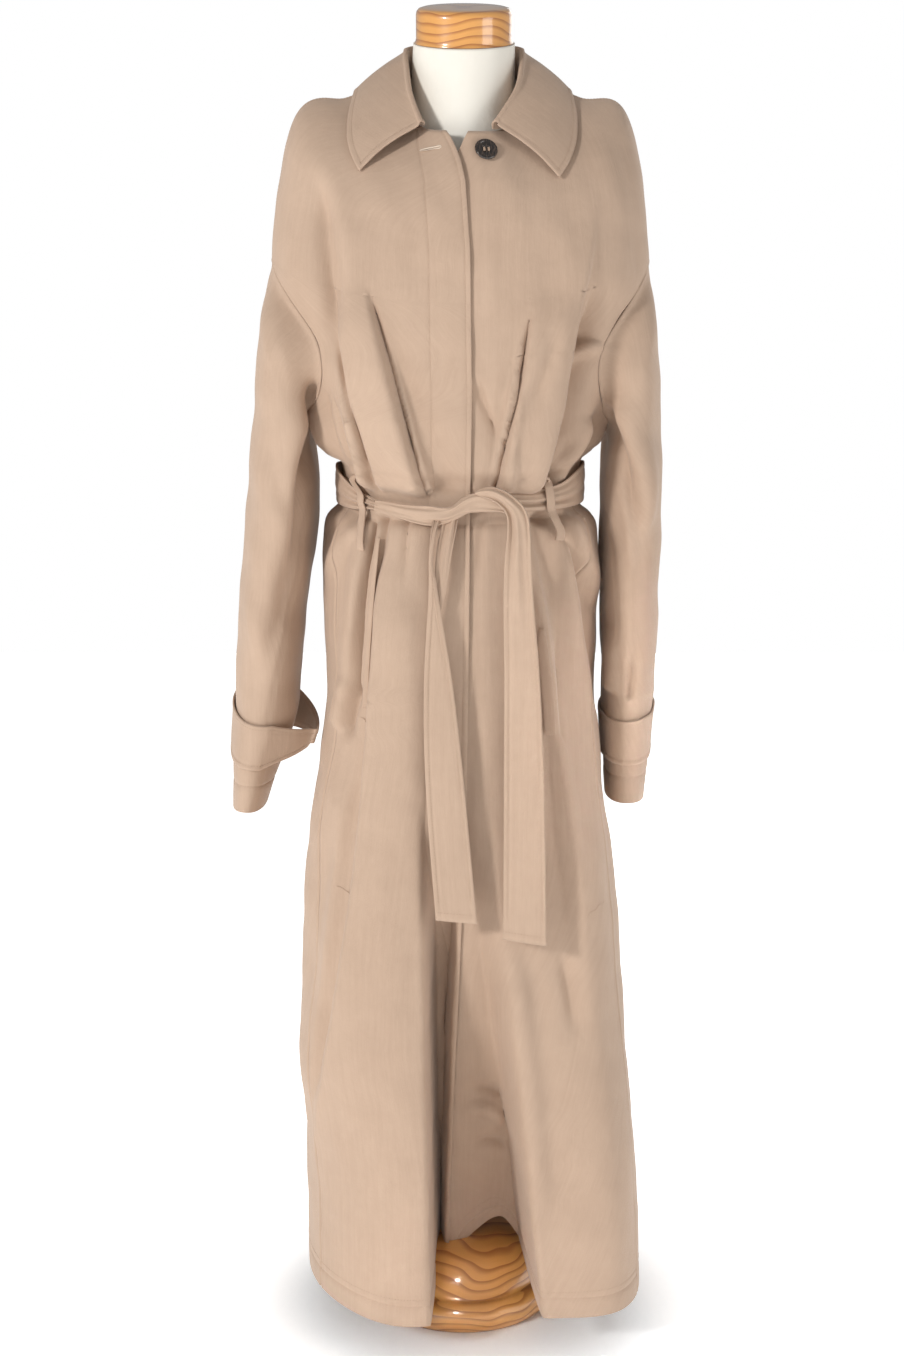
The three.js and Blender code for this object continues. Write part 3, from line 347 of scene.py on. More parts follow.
# Where the right front's edge lies across the centre at each height, and how far the left front reaches
# under it. At the neck the button is open, so the two corners stand apart.
EDGE_Z = np.array([1364, 1350, 1336, 1322, 1303, 1231, 1074, 904, 751, 640, 504, 322, 46], float)
EDGE_X = np.array([-22, -13.5, -7.5, -3, 1, 6, 8, 6, 4, 2, -2, -10, -19], float)
EDGE_UNDER = np.array([-29, -13, 0, 16, 36, 44, 44, 42, 38, 32, 23, 15, 8], float)
# Below the last button the fronts part into two flares with a deep hollow between them, from the height
# top down to foot. Each side of the hollow moves from its x0 to its x1 on the way and slopes over its
# turn, the hem's arch rises by rise, and behind is how deep the right front is folded back.
OPENING = {
    "top": 640, "foot": 40, "depth": 142, "behind": 46,
    "right_x0": -49, "right_x1": -39, "right_turn": 5, "right_rise": 7,
    "left_x0": 34, "left_x1": 92, "left_turn0": 40, "left_turn1": 15, "left_rise": 68,
}


def opening_shape(x, down):
    """How deep the hollow is at x, from 0 to 1: it opens at the right front's turned edge and closes at
    the left front's flare, whose place moves outwards towards the hem."""
    o = OPENING
    left = mix(o["left_x0"], o["left_x1"], down)
    turn = mix(o["left_turn0"], o["left_turn1"], down)
    right = mix(o["right_x0"], o["right_x1"], down)
    opened = smooth(right, right + o["right_turn"], x)
    return opened * (1 - smooth(0, 1, (x - left + turn) / turn))


def fold_back(x, z, down):
    """How much further in, from 0 to 1, the right front's cloth goes between its flare and its edge: it is
    folded back behind the flare and comes forward again to the edge."""
    edge = np.interp(z, EDGE_Z[::-1], EDGE_X[::-1])
    start = mix(OPENING["right_x0"], OPENING["right_x1"], down) + 2
    return smooth(0.02, 0.4, down) * smooth(start, start + 9, x) * (1 - smooth(edge - 13, edge - 2, x))


def fold_heights(folds, front, x, z):
    """The sum of the folds at x and z. A fold's middle line runs from (x0, z0) to (x1, z1) and is moved
    sideways by 4 bow t (1 - t). Its height is height exp(-(d / width)^2) at distance d from that line,
    with another width on each side, and it grows and dies over fade0 and fade1 at its ends."""
    total = np.zeros(np.broadcast(x, z).shape)
    for k in range(len(folds["face"])):
        f = {name: folds[name][k] for name in folds}
        t = (f["z0"] - z) / (f["z0"] - f["z1"])
        d = x - mix(f["x0"], f["x1"], t) - 4 * f["bow"] * t * (1 - t)
        d = d / np.where(d > 0, f["plus"], f["minus"])
        grow = smooth(0, f["fade0"], f["z0"] - z) * smooth(0, f["fade1"], z - f["z1"])
        here = (t > 0) & (t < 1) & (front == (f["face"] > 0))
        total += np.where(here, f["height"] * grow * np.exp(-d * d), 0)
    return total


def crease_heights(creases, front, x, z):
    """The sum of the creases. With t the share of the way along a crease and d the distance from its
    line, to its right when one looks down it, less 4 bow t (1 - t), its height is
    1.3 height exp(-(d / width)^2), fading in and out over fade0 and fade1 at its ends."""
    total = np.zeros(np.broadcast(x, z).shape)
    for k in range(len(creases["face"])):
        f = {name: creases[name][k] for name in creases}
        dx, dz = f["x1"] - f["x0"], f["z1"] - f["z0"]
        length = math.hypot(dx, dz)
        way = ((x - f["x0"]) * dx + (z - f["z0"]) * dz) / length
        t = way / length
        d = ((z - f["z0"]) * dx - (x - f["x0"]) * dz) / length - 4 * f["bow"] * t * (1 - t)
        d = d / np.where(d > 0, f["plus"], f["minus"])
        grow = smooth(0, f["fade0"], way) * smooth(0, f["fade1"], length - way)
        here = (t > 0) & (t < 1) & (front == (f["face"] > 0)) & (np.abs(d) < 3)
        total += np.where(here, 1.3 * f["height"] * grow * np.exp(-d * d), 0)
    return total


def drape(phi, x, z, creased=True):
    """How far the cloth stands off its ring: folds and creases, and small gathers in two waves round the
    waist, all pressed nearly flat where the belt lies."""
    c = np.cos(np.radians(phi))
    front = c > 0
    total = fold_heights(FOLDS, front, x, z)
    if creased:
        total = total + crease_heights(CREASES, front, x, z)
    total *= smooth(0, 0.35, np.abs(c))
    ends = np.where(front, along(RINGS, "front_z", BELT), along(RINGS, "back_z", BELT))
    belt = mix(along(RINGS, "side", BELT), ends, np.abs(c))
    wave = np.sin(np.radians(phi * 15)) + 0.5 * np.sin(np.radians(phi * 23 + 40))
    total += 3.2 * wave * np.exp(-(((z - belt) / 70) ** 2))
    pressed = mix(32, 12.5, smooth(0.3, 0.75, c)) if creased else 32
    total *= 1 - 0.96 * np.exp(-(((z - belt) / pressed) ** 4))
    return total


def coat_point(phi, v, rise=58.0, creased=True):
    """A point of the coat's inner side, in millimetres: its ring, moved out by the folds and, between the
    two flares of the fronts, straight back by the hollow, where the hem also rises in an arch."""
    p, n = ring_point(RINGS, v, phi)
    x, z = p[..., 0], p[..., 2]
    front = np.cos(np.radians(phi)) > 0
    p = p + n * drape(phi, x, z, creased)[..., None]
    down = np.clip((OPENING["top"] - z) / (OPENING["top"] - OPENING["foot"]), 0, 1)
    opened = opening_shape(x, down)
    hollow = OPENING["depth"] * down**1.25 * opened + OPENING["behind"] * fold_back(x, z, down)
    back_share = mix(0.0, 0.8, smooth(0.1, 0.5, down))
    way = unit(mix(-n, np.array([0.0, 1.0, 0.0]), back_share[..., None]))
    p = p + way * np.where(front, hollow, 0)[..., None]
    share = 0.42 + 0.58 * smooth(-22, 46, x) - 0.62 * smooth(48, 92, x)
    p[..., 2] += np.where(front & (v > BELT), rise * share * opened * down**3, 0)
    return p


def coat_normal(phi, v):
    """The way out of the coat without its creases, from small steps down and round."""
    v = np.clip(v, 0.03, HEM - 0.03)
    across = coat_point(phi + 0.2, v, creased=False) - coat_point(phi - 0.2, v, creased=False)
    down = coat_point(phi, v + 0.03, creased=False) - coat_point(phi, v - 0.03, creased=False)
    return unit(np.cross(down, across))


# %% The edges of the panels
def armhole_width(v):
    """Half the armhole's width in degrees: 36 (1 - t^2)^0.5, with t from -1 at its top to 1 at the armpit,
    and a more pointed curve under the arm."""
    t = np.clip((v - (ARMHOLE_TOP + ARMPIT) / 2) / ((ARMPIT - ARMHOLE_TOP) / 2), -1, 1)
    return ARMHOLE_WIDTH * (1 - t * t) ** np.where(t > 0, 0.5 + 0.4 * t, 0.5)


def seam_angle(v):
    """The seam between front and back: straight down the side to the armpit, then turning forwards."""
    return 90 - SEAM_TURN * smooth(ARMPIT, ARMPIT + 4.5, v)


def angle_at_x(x, v):
    """The angle at which a ring passes x, near the centre front."""
    half = np.where(x < 0, along(RINGS, "right", v), along(RINGS, "left", v))
    return np.degrees(np.sign(x) * np.arcsin(np.abs(x / half) ** (along(RINGS, "square", v) / 2)))


def lap_angles(v):
    """Where the right front ends and where the left front begins under it."""
    z = -along(RINGS, "front_z", v)
    x, under = np.interp(z, -EDGE_Z, EDGE_X), np.interp(z, -EDGE_Z, EDGE_UNDER)
    return angle_at_x(x, v), angle_at_x(x - under, v)


SEAM_GAP = 0.3  # mm


def seam_gap(phi, v, way):
    """phi moved by half a seam's gap along the cloth."""
    pace = np.linalg.norm(coat_point(phi + way * 0.1, v) - coat_point(phi, v), axis=-1) / 0.1
    return phi + way * (SEAM_GAP / 2) / np.maximum(pace, 0.2)


# %% [markdown]
# ## From formula to cloth
# Each panel is a grid whose columns run lengthwise. Evenly spaced angles would crowd the columns on a
# fold's back and starve its face, so the columns are spread by length along the draped cloth. Near an
# edge or a row of stitches their distances are fixed in millimetres, which keeps those lines sharp.

# %% Rows and columns by length
def path_lengths(points, axis):
    """The length of each row or column up to each point."""
    steps = np.linalg.norm(np.diff(points, axis=axis), axis=-1)
    pad = [(0, 0)] * steps.ndim
    pad[axis] = (1, 0)
    return np.pad(np.cumsum(steps, axis), pad)


def at_lengths(parameter, lengths, wanted):
    """The parameter of each row at the wanted lengths, all rows at once: each row is moved 10^5 mm on, so
    one interpolation serves the whole grid."""
    shift = np.arange(len(parameter))[:, None] * 1e5
    flat = np.interp((wanted + shift).ravel(), (lengths + shift).ravel(), parameter.ravel())
    return flat.reshape(wanted.shape)


# Rows of stitches: how far they lie from an edge, from the hem and from the right front's edge.
EDGE_STITCHES, HEM_STITCHES, STRIP_STITCHES = 6, 31.2, 44.4
# Near the hem the rows are at fixed heights above it, and near an edge the columns are at fixed distances.
HEM_ROWS = np.array([34, 32.5, 31.5, 30.5, 29, 7, 4, 2.2, 1, 0])
SEAM_ZONE = np.array([0, 0.7, 1.6, 3, 4.6, 5.6, 6.4, 7.4, 10])
EDGE_ZONE = np.array([
    0, 0.8, 1.8, 3.2, 4.8, 5.6, 6.4, 7.6, 11, 16, 21, 26, 31, 36, 40, 42.4, 43.6, 44.4, 45.2, 46.4, 50,
])


def panel_rows(count):
    """Rows from neckline to hem, evenly spaced on the line that moves most: the centre or the armhole."""
    armhole = mix(ARMHOLE_TOP, ARMPIT, np.linspace(0, 1, 500)[1:] ** 2.5)
    v = np.concatenate([np.linspace(0, ARMHOLE_TOP, 400), armhole, np.linspace(ARMPIT, HEM, 1500)[1:]])
    curves = [coat_point(phi + 0 * v, v) for phi in (0.0, 45.0, 180.0)]
    curves += [coat_point(sign * (seam_angle(v) + way * armhole_width(v)), v)
               for sign in (-1, 1) for way in (-1, 1)]
    steps = np.max([np.linalg.norm(np.diff(curve, axis=0), axis=-1) for curve in curves], axis=0)
    lengths = np.concatenate([[0], np.cumsum(steps)])
    even = np.interp(np.linspace(0, lengths[-1], count), lengths, v)
    hem = HEM - HEM_ROWS / HEM_RING_GAP
    kept = even[np.min(np.abs(even[:, None] - hem[None]), axis=1) > 0.012]
    return np.sort(np.concatenate([kept[kept < HEM - 0.005], hem]))


ROWS = panel_rows(340)


def panel_angles(start, end, v, zone_start, zone_end, between):
    """Angles of a panel's columns: two zones at fixed distances from its edges, and even ones between."""
    fine = start + (end - start) * np.linspace(0, 1, 420)
    lengths = path_lengths(coat_point(fine, v), 1)
    total = lengths[:, -1:]
    inner = zone_start[-1] + (total - zone_start[-1] - zone_end[-1]) * np.linspace(0, 1, between + 2)[1:-1]
    wanted = np.concatenate([zone_start + 0 * total, inner, total - zone_end[::-1]], 1)
    return at_lengths(fine, lengths, wanted), wanted, total


def creased_normal(phi, v, rise):
    """The way out of the coat with its creases, from small steps at each point."""
    low, high = np.maximum(v - 0.012, 0), np.minimum(v + 0.012, HEM)
    down = coat_point(phi, high, rise) - coat_point(phi, low, rise)
    return unit(np.cross(down, coat_point(phi + 0.15, v, rise) - coat_point(phi - 0.15, v, rise)))


def grid_normals(grid, closed=False):
    """The way out at each point of a grid, from its neighbours: down x across."""
    down = np.gradient(grid, axis=0)
    if closed:
        across = np.roll(grid, -1, 1) - np.roll(grid, 1, 1)
    else:
        across = np.gradient(grid, axis=1)
    return unit(np.cross(down, across))


def mesh_object(name, points, faces):
    """A smooth mesh in the scene, from points in mm and faces as lists of point numbers."""
    mesh = bpy.data.meshes.new(name)
    mesh.from_pydata((points.reshape(-1, 3) / 1000).tolist(), [], faces)
    mesh.shade_smooth()
    obj = bpy.data.objects.new(name, mesh)
    bpy.context.scene.collection.objects.link(obj)
    return obj


def cell_corners(rows, columns, order=((0, 0), (1, 0), (1, 1), (0, 1))):
    """The row and the column of the four corners of each cell of a grid, in their order round the cell."""
    i, j = np.meshgrid(np.arange(rows), np.arange(columns), indexing="ij")
    down, across = np.array(order).T
    return i[..., None] + down, j[..., None] + across


def tube_faces(rows, columns, order=((0, 0), (1, 0), (1, 1), (0, 1))):
    """The four-cornered faces of a tube: rows of points, each row a ring."""
    i, j = cell_corners(rows - 1, columns, order)
    return (i * columns + j % columns).reshape(-1, 4)


def end_faces(rows, columns):
    """The two faces that close a tube at its first and its last ring."""
    last = (rows - 1) * columns
    return [list(range(columns)), list(range(last + columns - 1, last - 1, -1))]


def cloth(name, grid, thickness=2.0, closed=False):
    """A thin shell: grid holds its outer side in mm, rows down and columns to the right as seen from
    outside. Its own UV map measures the cloth in metres, so a weave runs true along every piece."""
    rows, columns = grid.shape[:2]
    i, j = cell_corners(rows - 1, columns if closed else columns - 1)
    obj = mesh_object(name, grid, (i * columns + j % columns).reshape(-1, 4).tolist())
    wide = np.concatenate([grid, grid[:, :1]], 1) if closed else grid
    flat = np.stack([path_lengths(wide, 1), path_lengths(wide, 0)], -1) / 1000
    obj.data.uv_layers.new(name="cloth").data.foreach_set("uv", flat[i, j].reshape(-1))
    shell = obj.modifiers.new("thickness", "SOLIDIFY")
    shell.thickness = thickness / 1000
    shell.offset = -1
    return obj


def stitched_edge(d):
    """The relief near a folded edge with a row of stitches, d being the distance from the edge in mm:
    the fold is thicker, and the stitches pull the cloth down."""
    return 0.35 * np.exp(-(((d - 2.6) / 2.4) ** 2)) - 0.45 * np.exp(-((d - EDGE_STITCHES) ** 2))


def stitched_hem(d):
    """The relief near a hem, d being the height above it in mm: a groove at the stitches and doubled cloth
    below them."""
    return -0.7 * np.exp(-(((d - HEM_STITCHES) / 1.3) ** 2)) + 0.4 * smooth(31, 28, d)


def unevenness(p, scale=1.0):
    """Small hollows that cloth always has: the sum of four pairs of crossed waves, 50 to 520 mm long."""
    x, y, z = p[..., 0], p[..., 1], p[..., 2]
    waves = np.sin(x / 17 + z / 41 + 1.3) * np.sin(z / 23 - y / 19 + 0.4)
    waves += 0.8 * np.sin(x / 29 - z / 19 + y / 37 + 2.1) * np.sin(z / 57 + x / 11)
    waves += 0.5 * np.sin(z / 9 + x / 14 + 0.7) * np.sin(x / 21 - z / 31)
    waves += 1.1 * np.sin(x / 8.5 + 0.9 * np.sin(z / 67) + y / 15) * np.sin(z / 83 + x / 46 + 0.8)
    return scale * 0.62 * waves


# %% [markdown]
# ## The three body panels
# The coat's body is cut as two fronts and one back. They meet at the shoulders and down the sides. The
# right front laps over the left one, and its edge hides the buttons: a second row of stitches 44 mm from
# the edge holds the concealed strip behind it.

# %% Right front, left front and back
# CLOTH is the thickness, and LAP how much further in the left front lies where the right one covers it.
CLOTH, LAP = 2.0, 4.0
v = ROWS[:, None]
LAP_ANGLE, UNDER_ANGLE = lap_angles(v)


def body_relief(p, to_seam):
    """The stitched side seam, the hem, and the cloth's own unevenness."""
    hem = (HEM - v) * HEM_RING_GAP
    relief = stitched_hem(hem) + unevenness(p, 1.0) * smooth(0, 90, hem)
    return relief - 0.9 * np.exp(-((to_seam / 1.5) ** 2)) + 0.35 * np.exp(-(((to_seam - 4) / 2.5) ** 2))


start = seam_gap(-(seam_angle(v) - armhole_width(v)), v, 1)
angles, wanted, total = panel_angles(start, LAP_ANGLE, v, SEAM_ZONE, EDGE_ZONE, 62)
base = coat_point(angles, v, OPENING["right_rise"])
to_edge = total - wanted
relief = body_relief(base, wanted) + stitched_edge(to_edge)
relief = relief - 0.6 * np.exp(-(((to_edge - STRIP_STITCHES) / 1.2) ** 2))
right_front = base + creased_normal(angles, v, OPENING["right_rise"]) * (CLOTH + relief)[..., None]

end = seam_gap(seam_angle(v) - armhole_width(v), v, -1)
angles, wanted, total = panel_angles(UNDER_ANGLE, end, v, SEAM_ZONE, SEAM_ZONE, 84)
at_lap = np.linalg.norm(coat_point(LAP_ANGLE, v) - coat_point(UNDER_ANGLE, v), axis=-1)
at_lap = at_lap * np.sign(LAP_ANGLE - UNDER_ANGLE)
shown = smooth(0, 24, wanted - at_lap)
rise = mix(OPENING["right_rise"], OPENING["left_rise"], shown)
base = coat_point(angles, v, rise)
relief = CLOTH - LAP * (1 - shown) + body_relief(base, total - wanted) * shown
left_front = base + creased_normal(angles, v, rise) * relief[..., None]

start = seam_gap(seam_angle(v) + armhole_width(v), v, 1)
end = seam_gap(360 - seam_angle(v) - armhole_width(v), v, -1)
angles, wanted, total = panel_angles(start, end, v, SEAM_ZONE, SEAM_ZONE, 104)
base = coat_point(angles, v)
relief = CLOTH + body_relief(base, np.minimum(wanted, total - wanted))
back_panel = base + creased_normal(angles, v, 0.0) * relief[..., None]

front_right = cloth("cloth_front_right", right_front)
front_left = cloth("cloth_front_left", left_front)
back = cloth("cloth_back", back_panel)
print("rows", len(ROWS), "columns", right_front.shape[1], left_front.shape[1], back_panel.shape[1])


# %% [markdown]
# ## Sleeves
# A set-in sleeve leaves the armhole along the body's surface and then hangs as a soft tube, a little bent
# at the elbow. Its rings give the places of its outer and inner edges and its reach to front and back.

# %% Tables of the two sleeves
SIDES = ((-1, "right"), (1, "left"))
SLEEVE_COLUMNS = "outer outer_z inner inner_z front back"
SLEEVES = {
    -1: table(
        SLEEVE_COLUMNS,
        [
            (213, 1232, 168, 1040, 84, 74),
            (222, 1196, 174, 1026, 86, 78),
            (229, 1136, 170, 998, 88, 80),
            (235, 1060, 168, 956, 88, 80),
            (243, 975, 173, 905, 86, 78),
            (252, 880, 183, 838, 82, 74),
            (258, 788, 190, 770, 78, 70),
            (262, 716, 197, 708, 74, 66),
            (265, 660, 217, 656, 72, 64),
            (265, 612, 232, 610, 70, 62),
        ],
    ),
    1: table(
        SLEEVE_COLUMNS,
        [
            (205, 1232, 158, 1040, 84, 74),
            (210, 1196, 164, 1026, 86, 78),
            (216, 1136, 161, 998, 88, 80),
            (220, 1068, 159, 956, 88, 80),
            (221, 985, 159, 905, 84, 76),
            (221, 890, 160, 838, 80, 72),
            (221, 796, 162, 775, 76, 68),
            (215, 724, 163, 716, 72, 64),
            (211, 668, 165, 664, 68, 60),
            (207, 622, 168, 620, 65, 58),
        ],
    ),
}


def armhole_row(turn):
    """The coat's row that the armhole's edge passes at an angle of turn."""
    return mix(ARMHOLE_TOP, ARMPIT, 1 - np.abs(1 - turn / math.pi))


def armhole_point(sign, turn):
    """A point of the armhole's edge, on the body."""
    turn = np.mod(turn, 2 * math.pi)
    v = armhole_row(turn)
    return coat_point(sign * (90 - np.where(turn < math.pi, 1, -1) * armhole_width(v)), v)


def seam_normal(sign, face, v):
    """The way out at the armhole. At the armpit body and sleeve fold away from one another, downwards."""
    n = coat_normal(sign * (seam_angle(v) - face * armhole_width(v)), v)
    fold = 0.85 * smooth(ARMHOLE_TOP + 1, ARMPIT, v) * (1 - smooth(ARMPIT, ARMPIT + 0.5, v))
    return unit(mix(n, np.array([0, 0, -1.0]), fold[..., None]))


def sleeve_point(sign, turn, s):
    """A point of a sleeve's inner side. turn goes round from the outer edge, forwards first, and s is the
    row. Below row 1.7 it is a ring; above, it is blended with a strip that leaves the armhole."""
    rows = SLEEVES[sign]
    turn, s = np.broadcast_arrays(turn, s)
    c, k = np.cos(turn), np.sin(turn)
    g = {name: along(rows, name, s) for name in rows}
    power = mix(0.62, 0.9, smooth(1, 3.5, s))
    t = (1 - np.sign(c) * np.abs(c) ** 0.9) / 2
    y = np.where(k > 0, -g["front"], g["back"]) * np.abs(k) ** power
    ring = np.stack([sign * mix(g["outer"], g["inner"], t), y, mix(g["outer_z"], g["inner_z"], t)], -1)
    v = armhole_row(turn)
    n = seam_normal(sign, np.where(turn < math.pi, 1, -1), v)
    edge = armhole_point(sign, turn + 0.1) - armhole_point(sign, turn - 0.1)
    inwards = unit(np.cross(edge, n)) * -sign
    start = armhole_point(sign, turn) + inwards * (0.48 + s * mix(7, 22, (1 + c) / 2))[..., None]
    start = start + n * (2 * s * s)[..., None]
    return mix(start, ring, smooth(0.2, 1.7, s)[..., None])


SLEEVE_END = len(SLEEVES[1]["outer"]) - 1
# Near the cuff the rows are at fixed distances above its edge.
CUFF_ROWS = np.array([34, 32.4, 31.4, 30.4, 29, 5, 2, 0.8, 0])
ABOVE_CUFF = (24, 18, 11)
SLEEVE_FOLDS = table(
    FOLD_COLUMNS,
    [
        (1, -205, 1180, -190, 960, 8, 6, 16, 12, 80, 120),
        (1, -216, 1060, -188, 860, -6, 6, 12, 20, 70, 90),
        (1, -232, 950, -210, 700, 6, 5, 14, 14, 90, 120),
        (1, 186, 1180, 178, 980, -6, 6, 14, 16, 80, 120),
        (1, 204, 1050, 176, 860, 6, 6, 14, 18, 70, 90),
        (1, 200, 900, 190, 720, -5, 5, 12, 14, 80, 100),
        (0, -206, 1150, -196, 900, 8, 6, 16, 14, 90, 140),
        (0, 190, 1150, 184, 900, -8, 6, 16, 14, 90, 140),
        (0, -224, 930, -214, 700, 6, 5, 14, 14, 90, 120),
        (0, 196, 930, 190, 700, 6, 5, 14, 14, 90, 120),
    ],
)


def sleeve_grid(sign, rows, columns):
    """The sleeve's inner side and the way out, with rows and columns evenly spaced along the cloth. The
    tight start of turn at the armhole's top is met by sampling turn = w - 0.9 sin w."""
    s = np.linspace(0, SLEEVE_END, 300)
    lines = [sleeve_point(sign, turn + 0 * s, s) for turn in (0.3, math.pi / 2, math.pi - 0.3)]
    steps = np.max([np.linalg.norm(np.diff(line, axis=0), axis=-1) for line in lines], axis=0)
    length = np.concatenate([[0], np.cumsum(steps)])
    even = np.linspace(0, length[-1] - 36, rows)
    even = np.sort(np.concatenate([even, length[-1] - CUFF_ROWS, [length[-1] - up for up in ABOVE_CUFF]]))
    s = np.interp(even, length, s)[:, None]
    w = np.linspace(0, 2 * math.pi, 700)
    fine = np.broadcast_to(w - 0.9 * np.sin(w), (len(s), len(w)))
    lengths = path_lengths(sleeve_point(sign, fine, s), 1)
    shares = np.linspace(0, 1, columns + 1)[None, :-1]
    turn = at_lengths(fine, lengths, shares * lengths[:, -1:])
    grid = sleeve_point(sign, turn, s)
    if sign > 0:
        grid, turn = (np.concatenate([a[:, :1], a[:, :0:-1]], 1) for a in (grid, turn))
    return grid, turn, s, length[-1] - even[:, None]


sleeves, sleeve_grids = {}, {}
for sign, name in SIDES:
    grid, turn, s, to_cuff = sleeve_grid(sign, 128, 116)
    n = grid_normals(grid, closed=True)
    front, x, z = np.sin(turn) > 0, grid[..., 0], grid[..., 2]
    relief = fold_heights(SLEEVE_FOLDS, front, x, z) + crease_heights(SLEEVE_CREASES, front, x, z)
    relief = relief * smooth(0, 0.4, np.abs(np.sin(turn))) * smooth(0.1, 0.8, s)
    relief = relief + unevenness(grid, 1.3) * smooth(0, 60, to_cuff) * smooth(0, 1, s)
    relief = relief + stitched_hem(to_cuff)
    sleeve_grids[sign] = grid + n * (CLOTH + relief)[..., None]
    sleeves[sign] = cloth("cloth_sleeve_" + name, sleeve_grids[sign], closed=True)
print("sleeves", grid.shape)

# %% [markdown]
# ## Collar
# The collar is one strip: its stand rises from the neckline inside, and its fall turns over a fold line
# and lies on the shoulders. Eight points across the strip are placed for each station round the neck, and
# a smooth curve passes through them.

# %% Collar
COLLAR = table(
    "turn fold_x fold_y fold_z outer_turn outer_row",
    [
        (41, 44, -89, 1368, 43.5, 1.46),
        (52, 50, -80, 1384, 57, 1.28),
        (66, 57, -62, 1408, 70, 1.06),
        (80, 60, -34, 1434, 81, 0.9),
        (92, 62, -8, 1453, 92, 0.84),
        (112, 59, 22, 1464, 112, 0.9),
        (145, 38, 49, 1470, 145, 1.04),
        (180, 0, 60, 1472, 180, 1.1),
    ],
)


def collar_points(t):
    """The eight points across the collar at station t, which runs from the right end round the back."""
    last = len(COLLAR["turn"]) - 1
    sign = np.where(t < last, -1, 1)
    row = np.where(t < last, t, 2 * last - t)
    g = {name: along(COLLAR, name, row) for name in COLLAR}
    slip = np.where(sign > 0, 13 * (1 - smooth(0, 3, row)), 0)
    turn = sign * (g["turn"] - slip)
    neck = coat_point(turn, 0 * t) + coat_normal(turn, 0 * t) * (CLOTH - 0.3)
    neck[..., 2] += 1.2
    fold = np.stack([sign * (g["fold_x"] - slip), g["fold_y"], g["fold_z"]], -1)
    turn = sign * (g["outer_turn"] - slip / 3)
    edge = coat_point(turn, g["outer_row"]) + coat_normal(turn, g["outer_row"]) * (CLOTH + 2.2)
    out = unit((edge - fold) * np.array([1, 1, 0]))
    over = fold + 6 * out - np.array([0, 0, 5])
    top = fold + 3 * out
    inside = mix(neck, fold, 0.72)
    bulge = out + np.array([0, 0, 0.8])
    falls = [mix(over, edge, share) + high * bulge for share, high in ((0.3, 2.5), (0.62, 3.0))]
    return np.stack([neck, mix(neck, inside, 0.5), inside, top, over, *falls, edge])


# Points 0 to 4 across the strip are the stand, and points 4 to 7 the fall.
STAND_ROWS, FALL_ROWS = 26, 30
stations = np.linspace(2 * (len(COLLAR["turn"]) - 1), 0, 190)
rows = np.concatenate([np.linspace(0, 4, STAND_ROWS), np.linspace(4.15, 7, FALL_ROWS)])
grid = through(collar_points(stations), rows)
down = path_lengths(grid, 0)
across = path_lengths(grid, 1)
to_edge = np.minimum(down[-1:] - down, np.minimum(across, across[:, -1:] - across))
collar_grid = grid + grid_normals(grid) * (CLOTH + stitched_edge(to_edge))[..., None]
collar = cloth("cloth_collar", collar_grid)
fall = collar_grid[STAND_ROWS:]
print("collar", grid.shape)

# %% [markdown]
# ## Belt
# The belt is a long strip, 44 mm wide where it lies flat at the back. It is drawn together at the front,
# so there it narrows and gets lengthwise creases, and its ends are tied once and hang down.

# %% Belt band
BELT_RUN = table(
    "phi z width crease",
    [
        (10.2, 969, 22, 1),
        (32, 967, 23, 1),
        (48, 970, 27, 0.9),
        (66, 978, 38, 0.35),
        (90, 984, 43, 0.1),
        (135, 983, 44, 0),
        (180, 982, 44, 0),
        (225, 982, 44, 0),
        (270, 982, 43, 0.1),
        (292, 974, 34, 0.4),
        (306, 966, 22, 1),
        (315, 963, 14, 1),
        (323, 960, 10.5, 1),
        (333, 957, 9, 1),
    ],
)


def belt_point(t, share, off=7.3):
    """A point of the belt: share goes from 1 at its upper edge to -1 at its lower edge."""
    phi = along(BELT_RUN, "phi", t)
    ring = {name: np.array([along(RINGS, name, BELT)] * 2) for name in RINGS}
    p, n = ring_point(ring, 0 * t, phi)
    p = p + n * (off + 1.2 * (1 - share * share))[..., None]
    p[..., 2] = along(BELT_RUN, "z", t) + share * along(BELT_RUN, "width", t) / 2
    return p, n


# The band ends one row before its table, whose last row only bends the curve's end.
t, share = np.meshgrid(np.linspace(0, len(BELT_RUN["phi"]) - 2, 560), np.linspace(1, -1, 27))
grid, out = belt_point(t, share)
length = path_lengths(grid, 1)
to_edge = (1 - np.abs(share)) * along(BELT_RUN, "width", t) / 2
crease = along(BELT_RUN, "crease", t) * np.clip(1 - share**8, 0, 1)
drift = 0.9 * np.sin(length / 47) + 0.35 * np.sin(length / 19 + 1)
relief = crease * (1.9 * np.sin(share * 6.2 + drift * 1.3) + 1.1 * np.sin(share * 11 + drift * 2.2 + 1))
relief = relief + 0.7 * np.sin(length / 33 + share) * (1 - crease)
relief = relief + stitched_edge(to_edge) * (1 - crease)
belt = cloth("cloth_belt_band", grid + out * (CLOTH + 0.6 + relief)[..., None])

# %% [markdown]
# ### The tie
# One end of the belt is gathered, turned once and passed under the other, which folds over it in a small
# lobe and hangs down. The gathered part is a band swept along a path, and the lobe belongs to the hanging
# end.

